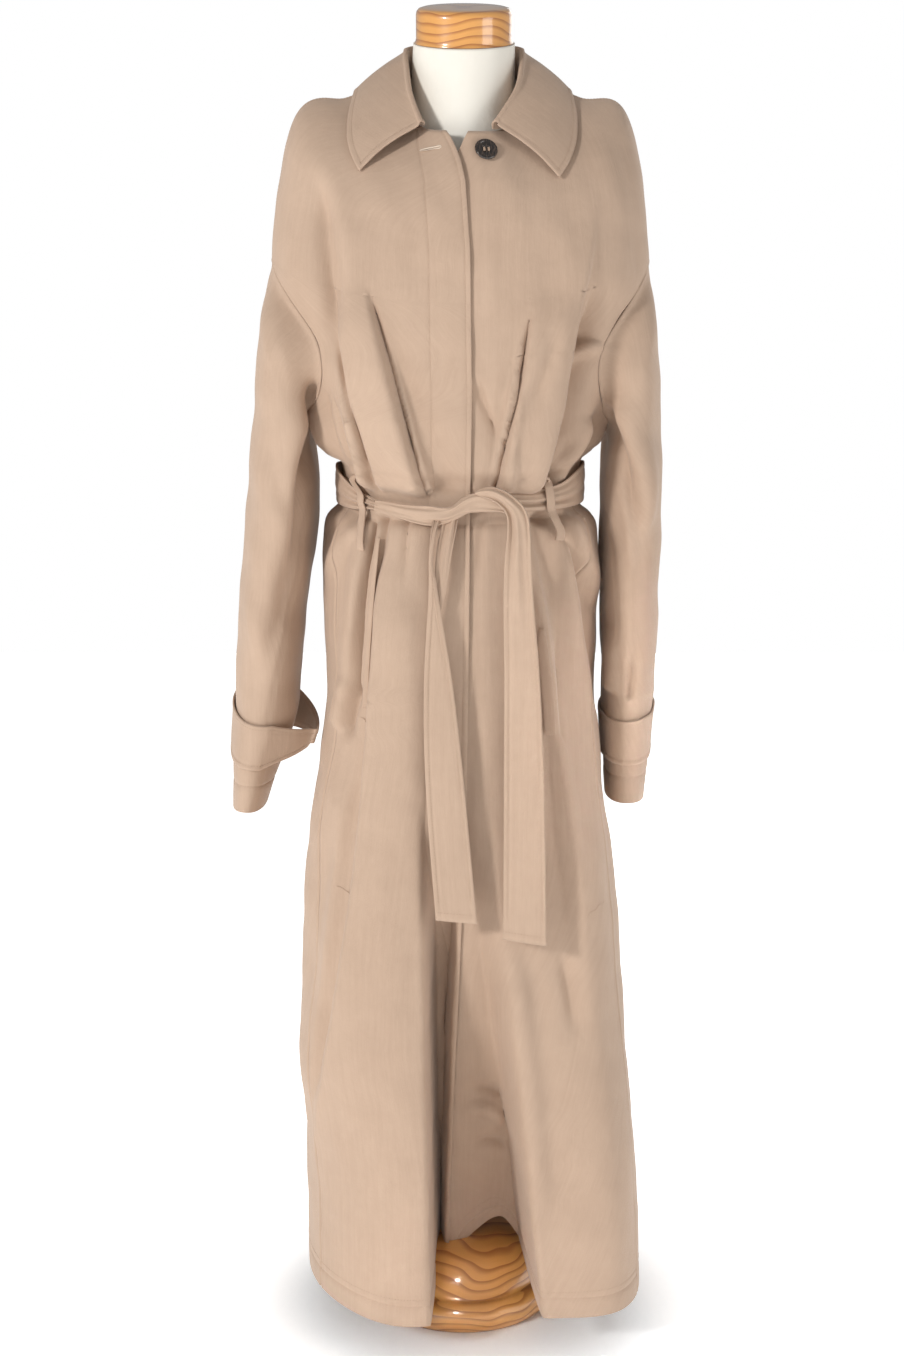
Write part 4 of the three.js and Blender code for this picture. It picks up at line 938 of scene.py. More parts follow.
# %% The tie
TIE = table(
    "x y z wide thick turn",
    [
        (-97, -108, 960.5, 11, 3, 0),
        (-85, -117, 958.5, 14, 4.5, 15),
        (-69, -127, 955.5, 16, 7, 30),
        (-53, -134, 952.8, 19.5, 9, 55),
        (-37, -139.5, 951.3, 22, 10, 80),
        (-21, -143.5, 951.8, 18, 11, 120),
        (-9, -147, 956, 15, 11, 160),
        (2, -148.5, 962.5, 18, 9, 200),
        (14, -149, 965.5, 21, 7, 225),
        (28, -149.5, 963.5, 17, 7, 250),
        (40, -150, 960.5, 11, 6, 275),
        (48, -150, 957, 8, 4, 290),
    ],
)


def sweep(rows, lengthwise, sides):
    """A band of cloth gathered along a smooth path. Its section is a squared oval, wide across the path
    and thin to the front; narrow pleats of three sizes run along it and wind round as it twists."""
    t = np.linspace(0, len(rows["x"]) - 1, lengthwise)
    g = {name: along(rows, name, t)[:, None] for name in rows}
    path = np.concatenate([g["x"], g["y"], g["z"]], 1)
    tangent = unit(np.gradient(path, axis=0))
    face = np.array([0.0, -1.0, 0.0])
    front = unit(face - tangent * (tangent @ face)[:, None])
    up = np.cross(front, tangent)
    a = np.linspace(0, 2 * math.pi, sides, endpoint=False)[None]
    wind = np.radians(g["turn"])
    pleats = 0.34 * np.abs(np.sin(1.5 * a + wind / 2)) + 0.2 * np.sin(5 * a + 1.3 * wind)
    pleats = pleats + 0.1 * np.sin(9 * a - wind)
    s, c = np.sin(a), np.cos(a)
    x = g["wide"] / 2 * np.sign(s) * np.abs(s) ** 0.8 * (0.96 + 0.1 * pleats)
    y = g["thick"] / 2 * np.sign(c) * np.abs(c) ** 0.7 * (0.78 + pleats)
    return path[:, None] + up[:, None] * x[..., None] + front[:, None] * y[..., None]


tie = cloth("cloth_tie", sweep(TIE, 170, 84), closed=True)

# %% The two hanging ends
# A row of an end: a point of its one edge, the point of its other edge, and how creased it is.
TAIL_COLUMNS = "ax ay az bx by bz crease"
LEFT_END = table(
    TAIL_COLUMNS,
    [
        (14, -149, 973.5, 12, -148, 977, 0),
        (22, -152.5, 971, 19.5, -151, 980.5, 0.4),
        (31, -154.5, 967.5, 30, -154, 982, 0.7),
        (38, -156, 962.5, 43, -157, 977.5, 1),
        (43, -157.5, 957, 54, -160, 970, 1),
        (45.5, -158.5, 950, 63, -161.5, 960.5, 1),
        (46, -159, 940, 68, -163, 948, 0.9),
        (45, -160, 924, 70, -163.5, 930, 0.8),
        (43, -160, 904, 71, -163, 908, 0.6),
        (42, -160, 860, 74, -164, 862, 0.3),
        (43, -162, 780, 81, -166, 780, 0.1),
        (43, -164, 700, 85, -169, 700, 0),
        (43, -166, 600, 88, -171, 600, 0),
        (42.5, -169, 491, 90, -174, 485, 0),
    ],
)


def tail_grid(rows, phase):
    """A hanging end: a strip between its two edges, gathered into lengthwise creases near the tie."""
    t, u = np.meshgrid(np.linspace(0, len(rows["ax"]) - 1, 150), np.linspace(0, 1, 30), indexing="ij")
    a = np.stack([along(rows, "a" + axis, t) for axis in "xyz"], -1)
    b = np.stack([along(rows, "b" + axis, t) for axis in "xyz"], -1)
    grid = mix(a, b, u[..., None])
    width = np.linalg.norm(b - a, axis=-1)
    down = path_lengths(grid, 0)
    to_edge = np.minimum(np.minimum(u, 1 - u) * width, down[-1:] - down + 0.01)
    crease = along(rows, "crease", t) * smooth(0, 0.12, u) * (1 - smooth(0.88, 1, u))
    relief = crease * (2.4 * np.sin(u * 9 + down / 70 + phase) + 1.2 * np.sin(u * 17 - down / 45 + phase))
    relief = relief + (1 - crease) * stitched_edge(to_edge) + 1.2 * 4 * u * (1 - u)
    relief = relief + 0.6 * np.sin(down / 41 + phase) * np.sin(u * 3)
    return grid + grid_normals(grid) * (CLOTH + relief)[..., None]


left_end_grid = tail_grid(LEFT_END, 2.0)
tail_left = cloth("cloth_belt_tail_left", left_end_grid)
# The right end is turned over once: its upper length shows the back of the belt and goes behind the edge
# of its lower length, which starts as a narrow point and widens.
UPPER_TURN = table(
    TAIL_COLUMNS,
    [
        (-23, -138, 951, -7, -138, 953, 1),
        (-25, -143.5, 937, -9, -144, 938, 0.8),
        (-29, -148, 920, -12, -149, 920, 0.5),
        (-31, -152, 902, -15, -152.5, 902, 0.3),
        (-32, -155, 884, -18, -155, 883, 0.2),
        (-33.5, -157.5, 862, -22, -157.5, 862, 0.1),
        (-35, -159.5, 842, -28, -159.5, 843, 0),
        (-36, -161, 833, -34, -161, 834, 0),
    ],
)
LOWER_TURN = table(
    TAIL_COLUMNS,
    [
        (-33, -138, 950, -24, -138, 950, 0.6),
        (-34.5, -147.5, 938, -28.5, -148.5, 937, 0.4),
        (-36.5, -153, 924, -31.5, -154, 923, 0.2),
        (-38, -157.5, 904, -33.5, -158, 903, 0),
        (-38, -160.5, 884, -30.5, -160.5, 884, 0),
        (-39, -162.5, 858, -26.5, -162, 857, 0),
        (-41, -165, 826, -21, -164.5, 825, 0),
        (-43.5, -167, 775, -13, -166, 775, 0),
        (-43.5, -168.5, 710, -5, -168, 710, 0),
        (-40, -170, 630, 3, -170, 630, 0),
        (-31, -175, 514, 14, -175, 510, 0),
    ],
)
right_end_grid = tail_grid(LOWER_TURN, 0.6)
tail_right = cloth("cloth_belt_tail_right", right_end_grid)
tail_turned = cloth("cloth_belt_tail_turned", tail_grid(UPPER_TURN, 1.4))

# %% [markdown]
# ## Small pieces on the panels
# Loops, pocket welts and cuff straps are narrow strips. Each is placed from the panel it lies on: the
# panel's point at a given x and height is looked up, and the strip is lifted off along the way out.

# %% Looking up points of the front
def on_front(x, z, off):
    """The points of the front at x and z, off millimetres outwards: a few steps of Newton's method from
    a rough guess, with the pace of x round the coat and of z down it measured over small steps."""
    phi, v = x / 2.4, np.full_like(x, 8.0)
    small_angle, small_row = 0.5, 0.05
    for step in range(16):
        here = coat_point(phi, v, creased=False)
        beside = coat_point(phi + small_angle, v, creased=False)
        below = coat_point(phi, v + small_row, creased=False)
        round_pace = (beside[..., 0] - here[..., 0]) / small_angle
        down_pace = (below[..., 2] - here[..., 2]) / small_row
        phi = phi + np.clip((x - here[..., 0]) / np.maximum(round_pace, 0.5), -12, 12)
        v = np.clip(v + np.clip((z - here[..., 2]) / down_pace, -1, 1), 0, HEM)
    return coat_point(phi, v, creased=False) + coat_normal(phi, v) * np.asarray(off)[..., None]


# %% Belt loops
LOOPS = {
    # side: (places on the belt's upper and lower edge, width, sewn top x z, sewn foot x z)
    "right": ((10.6, 10.79), 10, (-117, 992), (-110.5, 912)),
    "left": ((1.41, 1.52), 11.5, (84.5, 994), (101, 922)),
}
loops = {}
for side, (on_belt, wide, (top_x, top_z), (foot_x, foot_z)) in LOOPS.items():
    ends = belt_point(on_belt[0] + np.array([-0.06, 0.06]), np.zeros(2))[0]
    way = unit((ends[1] - ends[0]) * np.array([1, 1, 0]))[None]
    way = way * np.sign(way[..., :1])
    places = ((top_x, top_z, 3.2), (top_x, top_z - 6, 6.5), (foot_x, foot_z + 9, 5.5), (foot_x, foot_z, 3.0))
    sewn = [on_front(*(np.array([value]) for value in place)) for place in places]
    over = []
    for share in (1.0, 0.0, -1.05):
        t = mix(on_belt[1], on_belt[0], (share + 1) / 2)
        over.append(belt_point(np.array([t]), np.array([share]), 12.6)[0])
    hanging = mix(over[2], sewn[2], 0.5) + np.array([0, -1.5, 0])
    path = np.stack([*sewn[:2], *over, hanging, *sewn[2:]])[:, 0]
    path = through(path, np.linspace(0, len(path) - 1, 80))
    u = np.linspace(-0.5, 0.5, 11)
    grid = path[:, None] + (u * wide)[None, :, None] * way[None]
    relief = 0.6 * (1 - (2 * u) ** 4) - 0.35 * np.exp(-(((np.abs(u) - 0.32) / 0.06) ** 2))
    n = grid_normals(grid)
    loops[side] = cloth("cloth_belt_loop_" + side, grid + n * (CLOTH + relief)[None, :, None])

# %% Cuff straps
# A strap lies between the sleeve's rows from and to, tilted by tilt rows. The right one's end stands off
# the sleeve by loose and forward millimetres, and both its edges run in by narrowed rows to a point.
STRAPS = {
    -1: {"from": 6.7, "to": 7.65, "tilt": 0.3, "loose": 27, "forward": -38, "narrowed": (0.42, 0.24)},
    1: {"from": 6.9, "to": 7.85, "tilt": 0.15, "loose": 0, "forward": 0, "narrowed": (0, 0)},
}
straps, strap_grids = {}, {}
for sign, name in SIDES:
    g = STRAPS[sign]
    round_cuff = np.linspace(0, 2 * math.pi, 150, endpoint=False)
    share, turn = np.meshgrid(np.linspace(0, 1, 25), round_cuff, indexing="ij")
    tip = np.clip(1 - np.abs(turn - math.pi) / 1.2, 0, 1)
    s = mix(g["from"] + g["narrowed"][0] * tip, g["to"] - g["narrowed"][1] * tip, share)
    s = s + g["tilt"] * np.sin(turn)
    grid = sleeve_point(sign, turn, s)
    centre = mix(sleeve_point(sign, 0 * turn, s), sleeve_point(sign, 0 * turn + math.pi, s), 0.5)
    out = unit((grid - centre) * np.array([1, 1, 0]))
    grid = grid + out * (CLOTH + 2)
    grid[..., 0] -= sign * g["loose"] * smooth(0, 1, tip) ** 0.5 * tip**0.5
    grid[..., 1] += g["forward"] * tip**4
    if sign > 0:
        grid = np.concatenate([grid[:, :1], grid[:, :0:-1]], 1)
    down = path_lengths(grid, 0)
    relief = stitched_edge(np.minimum(down, down[-1:] - down)) + unevenness(grid, 0.6)
    n = grid_normals(grid, closed=True)
    strap_grids[sign] = grid + n * (CLOTH + relief)[..., None]
    straps[sign] = cloth("cloth_cuff_strap_" + name, strap_grids[sign], closed=True)

# %% [markdown]
# ## The dress form and its stand
# A dress form is a stuffed linen torso with a wooden cap in its neck. Only its neck shows here, but the
# coat hangs on its shoulders, so it is whole: the same rings as the coat's, moved in.

# %% The torso
FORM = table(
    RING_COLUMNS,
    [
        (1437, 1392, 1446, 58, 56.5, 70, 50, 0, 2, 1.8),
        (1420, 1350, 1428, 66, 64, 76, 50, 0, 2.0, 2.2),
        (1401, 1298, 1396, 126, 123, 98, 78, 0, 2.1, 1.5),
        (1381, 1250, 1328, 180, 175, 112, 96, 0, 2.2, 1.15),
        (1350, 1222, 1296, 175, 170, 108, 94, 0, 2.1, 1.1),
        (1280, 1195, 1240, 164, 159, 110, 97, 0, 2.1, 1),
        (1200, 1165, 1185, 152, 148, 112, 97, 0, 2.1, 1),
        (1110, 1105, 1110, 136, 132, 104, 90, 0, 2.1, 1),
        (1030, 1030, 1030, 121, 117, 90, 82, 0, 2.1, 1),
        (985, 985, 985, 117, 113, 86, 80, 0, 2.1, 1),
        (930, 930, 930, 122, 118, 90, 86, 0, 2.1, 1),
        (860, 860, 860, 136, 132, 100, 102, 0, 2.1, 1),
        (790, 790, 790, 143, 139, 106, 110, 0, 2.1, 1),
        (725, 725, 725, 138, 134, 103, 107, 0, 2.1, 1),
        (704, 704, 704, 124, 120, 92, 94, 0, 2.1, 1),
    ],
)
NECK_RADIUS, NECK_Y, NECK_TOP, NECK_TILT = 56, -9, 1464, 0.3


def solid_mesh(name, grid):
    """A closed surface from rings of points, with its two ends filled."""
    rows, columns = grid.shape[:2]
    obj = mesh_object(name, grid, tube_faces(rows, columns).tolist() + end_faces(rows, columns))
    for end in obj.data.polygons[-2:]:
        end.use_smooth = False
    return obj


phi = np.linspace(0, 360, 144, endpoint=False)[None]
body = ring_point(FORM, np.linspace(0, len(FORM["side"]) - 1, 150)[:, None], phi)[0]
s, c = np.sin(np.radians(phi)), np.cos(np.radians(phi))
share = np.linspace(0, 1, 16)[:-1, None]
top = np.stack([NECK_RADIUS * s, NECK_Y - NECK_RADIUS * c, NECK_TOP - NECK_TILT * NECK_RADIUS * c], -1)
torso = solid_mesh("linen_torso", np.concatenate([mix(top, body[:1], (share**1.15)[..., None]), body]))

# %% Turned wood
def turned(profile, sides=128, tilt=0.0, place=(0, 0, 0)):
    """Rings of a turned piece from its profile, tilted about the X axis and put in its place."""
    radius, z = np.array(profile, float).T
    a = np.linspace(0, 2 * math.pi, sides, endpoint=False)[None]
    x, y = radius[:, None] * np.sin(a), -radius[:, None] * np.cos(a)
    z = np.broadcast_to(z[:, None], x.shape)
    y, z = y * math.cos(tilt) - z * math.sin(tilt), y * math.sin(tilt) + z * math.cos(tilt)
    return np.stack([x, y, z], -1) + np.array(place)


# Profiles from the top down, as radius and height in mm.
CAP = [
    (30, 37.6), (46, 37.4), (50, 36.2), (52.3, 33.5), (53, 30), (53, 5), (53.6, 2.6), (54.5, 1), (54.5, 0.4),
]
cap = solid_mesh("wood_cap", turned(CAP, tilt=math.atan(NECK_TILT), place=(0, NECK_Y, NECK_TOP)))
BASE = [
    (17, 86), (26, 85.9), (36, 85.5), (46, 84.5), (56, 82.4), (64, 79.6), (71, 76), (77.5, 71), (83, 64.6),
    (87.5, 57), (91, 48), (93.2, 39.5), (94.6, 35), (96, 33.9), (98.6, 34.2), (101.5, 33.4), (104.6, 31.2),
    (107, 27.8), (108.8, 24), (109.7, 20), (110, 15), (109.8, 11.5), (109, 8.5), (107.2, 5), (105, 2),
    (103, 0),
]
stand_base = solid_mesh("wood_base", turned(BASE))
POLE = [(11, 703.5), (11, 86.3)]
pole = solid_mesh("steel_pole", turned(POLE, 64))
print("form", [o.name for o in (torso, cap, stand_base, pole)])

# %% Pocket welts
WELTS = {
    "right": [(-94, 925, 3.5), (-99, 895, 6), (-104, 845, 6.5), (-108, 790, 6.5), (-111, 740, 6.5)],
    "left": [(88, 830, 5), (91, 812, 11), (95, 785, 13), (99, 748, 13), (101, 712, 13)],
}
welts = {}
for side, places in WELTS.items():
    rows = table("x z wide", places)
    t, u = np.meshgrid(np.linspace(0, len(places) - 1, 90), np.linspace(0, 1, 12), indexing="ij")
    shift = (u if side == "right" else u - 1) * along(rows, "wide", t)
    across = smooth(0, 0.25, u) * (1 - smooth(0.75, 1, u))
    lengthwise = smooth(0, 0.3, t) * (1 - smooth(3.8, 4, t))
    lift = 0.5 + 0.9 * across * lengthwise
    grid = on_front(along(rows, "x", t) + shift, along(rows, "z", t), CLOTH + lift)
    welts[side] = cloth("cloth_pocket_welt_" + side, grid, 0.8)

# %% [markdown]
# ## Button and buttonhole
# The neck button is dark horn with a rim, a shallow dish and four holes, sewn on with two bars of thread.
# Its buttonhole lies in the other front, a slit whose edges are closely sewn round.

# %% Button
def frame_at(x, z, off):
    """A place on the front with its right, up and outward directions."""
    place, beside, above = on_front(np.array([x, x + 4, x]), np.array([z, z, z + 4]), np.full(3, off))
    right, up = beside - place, above - place
    out = unit(np.cross(right, up))
    right = unit(right)
    return place, right, np.cross(out, right), out


BUTTON_X, BUTTON_Z, HOLE = 22.0, 1336.0, 2.5  # HOLE is how far each hole is from both middle lines
place, right, up, out = frame_at(BUTTON_X, BUTTON_Z, CLOTH + 1.3)
profile = np.array([
    (0.01, 2.1), (1.5, 2.1), (3, 2.15), (4.5, 2.25), (6, 2.4), (7.6, 2.6), (8.6, 3.0), (9.4, 3.5),
    (10.4, 3.75), (11.4, 3.6), (12.1, 3.1), (12.5, 2.3), (12.5, 1.5), (12.1, 0.8), (11.2, 0.25), (9, 0),
    (4, 0), (0.01, 0),
])
profile = through(profile, np.linspace(0, len(profile) - 1, 90))
a = np.linspace(0, 2 * math.pi, 72, endpoint=False)[None]
x, y = profile[:, :1] * np.sin(a), profile[:, :1] * np.cos(a)
z = profile[:, 1:] + 0 * a
for i, j in ((1, 1), (1, -1), (-1, 1), (-1, -1)):
    hole = np.exp(-(((x - HOLE * i) ** 2 + (y - HOLE * j) ** 2) / 1.25**2) ** 2)
    z = z - 1.8 * hole * (z > 1.9)
button = solid_mesh("horn_button", place + x[..., None] * right + y[..., None] * up + z[..., None] * out)


# The rings of a thread run the other way round than those of a piece of cloth, and so do its faces.
THREAD_ORDER = ((0, 0), (0, 1), (1, 1), (1, 0))
ASLANT = np.array([0.13, -1.0, 0.21])  # a way that no thread runs along


def thread_tubes(paths, radius, sides=6):
    """Round threads along several paths: for each the rings of a tube that is pinched at its ends."""
    made = []
    for path in paths:
        tangent = unit(np.gradient(path, axis=0))
        side = unit(np.cross(tangent, ASLANT))
        other = np.cross(side, tangent)
        turn = np.linspace(0, 2 * math.pi, sides, endpoint=False)[None, :, None]
        thin = radius * np.sqrt(np.clip(1 - np.linspace(-1, 1, len(path)) ** 6, 0.05, 1))[:, None, None]
        made.append(path[:, None] + thin * (np.cos(turn) * side[:, None] + np.sin(turn) * other[:, None]))
    return made


def joined(name, grids):
    """Several closed tubes as one mesh."""
    faces, start = [], 0
    for grid in grids:
        rows, columns = grid.shape[:2]
        for face in tube_faces(rows, columns, THREAD_ORDER).tolist() + end_faces(rows, columns):
            faces.append([start + number for number in face])
        start += rows * columns
    return mesh_object(name, np.concatenate([grid.reshape(-1, 3) for grid in grids]), faces)


t = np.linspace(-1, 1, 14)[:, None]
arch = 2.3 + 0.9 * (1 - t**4) - 0.6 * np.abs(t) ** 8
paths = []
for k in range(4):
    across = (k - 1.5) * 0.55
    for i in (-1, 1):
        paths.append(place + right * (HOLE * i + across) + up * HOLE * t + out * arch)
button_thread = joined("thread_button", thread_tubes(paths, 0.32))

# %% Buttonhole
SLIT_X, SLIT_Z, SLIT_SLOPE = -35.5, 1338.6, 0.16
HALF_LENGTH, HALF_WIDTH, SLIT_POINTS = 11.5, 1.25, 90
t = np.linspace(0, 2 * math.pi, SLIT_POINTS, endpoint=False)
x = SLIT_X + HALF_LENGTH * np.sign(np.cos(t)) * np.abs(np.cos(t)) ** 0.75
middle = SLIT_Z + (x - SLIT_X) * SLIT_SLOPE
z = middle + HALF_WIDTH * np.sin(t) * (1 + 0.9 * smooth(-32, -25, x))
rim = on_front(x, z, np.full_like(x, CLOTH + 0.7))
inner = on_front(mix(SLIT_X, x, 0.94), mix(middle, z, 0.25), np.full_like(x, CLOTH + 0.3))
outer = rim + (rim - inner) * 0.35
t = np.linspace(0, 1, 5)[:, None, None]
bulge = 0.45 * np.sin(t * math.pi) + 0.12 * np.sin(np.arange(SLIT_POINTS) * 1.9)[None, :, None]
ring = mix(inner[None], outer[None], t) + np.array([0, -1, 0]) * bulge
buttonhole = cloth("thread_buttonhole", ring, 0.5, closed=True)

# %% [markdown]
# ## Stitches
# Rows of lockstitch hold the edges flat. Each stitch is a short capsule of thread that lies in the groove
# pressed by its neighbours. All stitches of a row are worked out at once from the row's line.

# %% Rows of stitches
STITCH_POINTS = 16  # in each stitch


def stitch_row(name, lines, pitch=3.4, length=2.5, radius=0.24, lift=0.1):
    """Stitches along several lines, each line given as points and outward directions. Every stitch has
    four rings of four points, which is enough for a thread of half a millimetre."""
    all_points = []
    for points, outs in lines:
        along_line = np.concatenate([[0], np.cumsum(np.linalg.norm(np.diff(points, axis=0), axis=-1))])
        middle = np.arange(pitch, along_line[-1] - pitch, pitch)
        at = middle[:, None] + np.array([-0.5, -0.34, 0.34, 0.5]) * length
        place = np.stack([np.interp(at, along_line, points[:, k]) for k in range(3)], -1)
        out_way = unit(np.stack([np.interp(at, along_line, outs[:, k]) for k in range(3)], -1))
        way = unit(place[:, -1:] - place[:, :1]) + 0 * place
        side = unit(np.cross(way, out_way))
        turn = np.array([0.25, 0.75, 1.25, 1.75])[None, None, :, None] * math.pi
        thin = (radius * np.array([0.35, 1, 1, 0.35]))[None, :, None, None]
        depth = np.array([-0.18, 0.05, 0.05, -0.18])[None, :, None] + lift
        place = place + out_way * depth
        spoke = np.cos(turn) * side[:, :, None] + np.sin(turn) * out_way[:, :, None]
        all_points.append((place[:, :, None] + thin * spoke).reshape(-1, 3))
    points = np.concatenate(all_points)
    count = len(points) // STITCH_POINTS
    one = np.concatenate([tube_faces(4, 4, THREAD_ORDER), [[3, 2, 1, 0], [12, 13, 14, 15]]])
    faces = (one[None] + STITCH_POINTS * np.arange(count)[:, None, None]).reshape(-1, 4)
    return mesh_object(name, points, faces.tolist())


def column_line(grid, distance, from_start, first=0, last=None):
    """The line on a grid at a distance from its first or last column, row by row."""
    lengths = path_lengths(grid, 1)
    wanted = distance if from_start else lengths[:, -1] - distance
    wanted = np.broadcast_to(wanted, (len(grid),))[:, None]
    outs = grid_normals(grid)
    on_line = [np.concatenate([at_lengths(values[..., k], lengths, wanted) for k in range(3)], 1)
               for values in (grid, outs)]
    return on_line[0][first:last], on_line[1][first:last]


def row_line(grid, distance):
    """The line on a grid at a distance above its last row."""
    points, outs = column_line(np.swapaxes(grid, 0, 1), distance, False)
    return points, -outs


def short_bar(grid, x0, z0, x1, z1):
    """A short row between two places seen from the front: every point is the mean of the panel's points
    near it, weighted by exp(-d^2 / 3)."""
    outs = grid_normals(grid)
    points, ways = [], []
    for share in np.linspace(0, 1, 12):
        d = (grid[..., 0] - mix(x0, x1, share)) ** 2 + (grid[..., 2] - mix(z0, z1, share)) ** 2
        weight = np.exp(-d / 3) * (outs[..., 1] < 0) * (grid[..., 1] < 0) + 1e-12
        points.append((grid * weight[..., None]).sum((0, 1)) / weight.sum())
        ways.append(unit((outs * weight[..., None]).sum((0, 1))))
    return np.array(points), np.array(ways)


def ring_line(grid, distance, below):
    """The closed line round a tube of cloth at a distance from its last row, or else from its first."""
    grid = np.concatenate([grid, grid[:, :2]], 1)
    points, outs = column_line(np.swapaxes(grid, 0, 1), distance, not below)
    return points, -outs


ARMHOLE_ROWS = int(np.sum(armhole_width(ROWS) > 0.5)) - 2
print("rows of the panels beside the sleeves", ARMHOLE_ROWS)
belt_lines, armhole_lines = [], []
for grid in (left_end_grid, right_end_grid):
    belt_lines.append(row_line(grid, 9))
    belt_lines += [column_line(grid, 4.6, from_start, 50, 147) for from_start in (True, False)]
for grid, from_start in ((right_front, True), (left_front, False)):
    armhole_lines += [column_line(grid, away, from_start, 3, ARMHOLE_ROWS) for away in (2.2, 8.2)]
strap_lines = [ring_line(strap_grids[sign], 5, below) for sign in (-1, 1) for below in (True, False)]
bar_lines = [
    short_bar(right_front, -143, 536, -122, 533),
    short_bar(left_front, 135, 508, 158, 520),
    short_bar(right_front, -117, 729, -102, 722),
    short_bar(left_front, 82, 720, 100, 720),
]
right_lines = [
    column_line(right_front, EDGE_STITCHES, False),
    column_line(right_front, STRIP_STITCHES, False, 0, 150),
    row_line(right_front, HEM_STITCHES),
]
left_lines = [row_line(left_front, HEM_STITCHES), column_line(left_front, EDGE_STITCHES, True, 200)]
collar_lines = [row_line(fall, EDGE_STITCHES)]
collar_lines += [column_line(fall, EDGE_STITCHES, from_start) for from_start in (True, False)]
cuff_lines = [row_line(sleeve_grids[sign], HEM_STITCHES) for sign in (-1, 1)]
stitch_rows = [
    stitch_row("thread_belt", belt_lines),
    stitch_row("thread_armholes", armhole_lines),
    stitch_row("thread_cuff_straps", strap_lines),
    stitch_row("thread_bars", bar_lines, pitch=1.6, length=1.5, radius=0.4),
    stitch_row("thread_front_right", right_lines),
    stitch_row("thread_front_left", left_lines),
    stitch_row("thread_back", [row_line(back_panel, HEM_STITCHES)]),
    stitch_row("thread_collar", collar_lines),
    stitch_row("thread_cuffs", cuff_lines),
]
print("stitches", sum(len(o.data.vertices) for o in stitch_rows) // STITCH_POINTS)

# %% [markdown]
# ## Finishes
# The coat is a fine cotton twill: matt, a little paler where the light grazes it, with threads of two
# close shades. The form's neck is plain-weave linen. Both are woven, so one node group serves them: it
# reads a map that measures the cloth in metres, and gives a colour, a roughness and a height.

# %% Node helpers
class Nodes:
    """A few short words for building a node tree."""

    def __init__(self, tree):
        self.tree = tree

    def feed(self, node, inputs):
        """Links each input to a socket, or sets it to a value."""
        for key, value in inputs.items():
            if isinstance(value, bpy.types.NodeSocket):
                self.tree.links.new(value, node.inputs[key])
            else:
                node.inputs[key].default_value = value
        return node

    def add(self, kind, inputs=None, **settings):
        node = self.tree.nodes.new(kind)
        for key, value in settings.items():
            setattr(node, key, value)
        return self.feed(node, inputs or {})

    def math(self, operation, a, b=0.0):
        return self.add("ShaderNodeMath", {0: a, 1: b}, operation=operation).outputs[0]

    def blend(self, share, a, b):
        """A colour between a and b. The node's colours are its inputs 6 and 7 and its output 2."""
        return self.add("ShaderNodeMix", {0: share, 6: a, 7: b}, data_type="RGBA").outputs[2]

    def noise(self, vector, scale, detail=2.0, roughness=0.5):
        values = {"Vector": vector, "Scale": scale, "Detail": detail, "Roughness": roughness}
        return self.add("ShaderNodeTexNoise", values).outputs["Fac"]

    def ramp(self, value, start, end):
        values = {"Value": value, "From Min": start, "From Max": end}
        return self.add("ShaderNodeMapRange", values, interpolation_type="SMOOTHSTEP").outputs["Result"]


def new_group(name, inputs, outputs):
    """A shader node group with named sockets; returns the tree, its helper and its two end nodes."""
    tree = bpy.data.node_groups.new(name, "ShaderNodeTree")
    for socket, kind, value in inputs:
        made = tree.interface.new_socket(socket, in_out="INPUT", socket_type=kind)
        if value is not None:
            made.default_value = value
    for socket, kind in outputs:
        tree.interface.new_socket(socket, in_out="OUTPUT", socket_type=kind)
    nodes = Nodes(tree)
    return tree, nodes, nodes.add("NodeGroupInput"), nodes.add("NodeGroupOutput")


def new_material(name):
    """A material, the helper of its node tree and its surface node."""
    material = bpy.data.materials.new(name)
    material.use_nodes = True
    return material, Nodes(material.node_tree), material.node_tree.nodes["Principled BSDF"]


# %% Woven cloth
FLOAT, COLOR = "NodeSocketFloat", "NodeSocketColor"
FULL_TURN = 6.2832
woven, g, into, out = new_group(
    "woven cloth",
    [
        ("Thread", COLOR, None), ("Shadow thread", COLOR, None), ("Pitch", FLOAT, 0.0006),
        ("Diagonal", FLOAT, 1.0), ("Unevenness", FLOAT, 0.1), ("Roughness", FLOAT, 0.8),
    ],
    [("Color", COLOR), ("Roughness", FLOAT), ("Height", FLOAT)],
)
coordinate = g.add("ShaderNodeTexCoord")
parts = g.add("ShaderNodeSeparateXYZ", {0: coordinate.outputs["UV"]})
turns = g.math("DIVIDE", FULL_TURN, into.outputs["Pitch"])
warp = g.math("MULTIPLY", parts.outputs["X"], turns)
weft = g.math("MULTIPLY", parts.outputs["Y"], turns)
slant = g.math("ADD", warp, g.math("MULTIPLY", weft, into.outputs["Diagonal"]))
twill = g.math("SINE", slant)
cross = g.math("MULTIPLY", g.math("SINE", warp), g.math("SINE", weft))
flat_share = g.math("SUBTRACT", 1.0, into.outputs["Diagonal"])
slanted = g.math("MULTIPLY", twill, into.outputs["Diagonal"])
relief = g.math("ADD", slanted, g.math("MULTIPLY", cross, flat_share))
slub = g.add("ShaderNodeMapping", {"Vector": coordinate.outputs["UV"], "Scale": (900, 60, 1)})
slub_lines = g.noise(slub.outputs[0], 1.0, 3.0)
wide_slub = g.add("ShaderNodeMapping", {"Vector": coordinate.outputs["UV"], "Scale": (210, 9, 1)})
streaks = g.noise(wide_slub.outputs[0], 1.0, 4.0, 0.6)
broad = g.noise(coordinate.outputs["Object"], 9.0, 4.0)
fine = g.noise(coordinate.outputs["Object"], 70.0, 3.0)
share = g.math("ADD", g.math("MULTIPLY", broad, 0.5), g.math("MULTIPLY", fine, 0.2))
share = g.math("ADD", share, g.math("MULTIPLY", slub_lines, 0.25))
share = g.math("ADD", share, g.math("MULTIPLY", g.math("SUBTRACT", streaks, 0.5), 0.38))
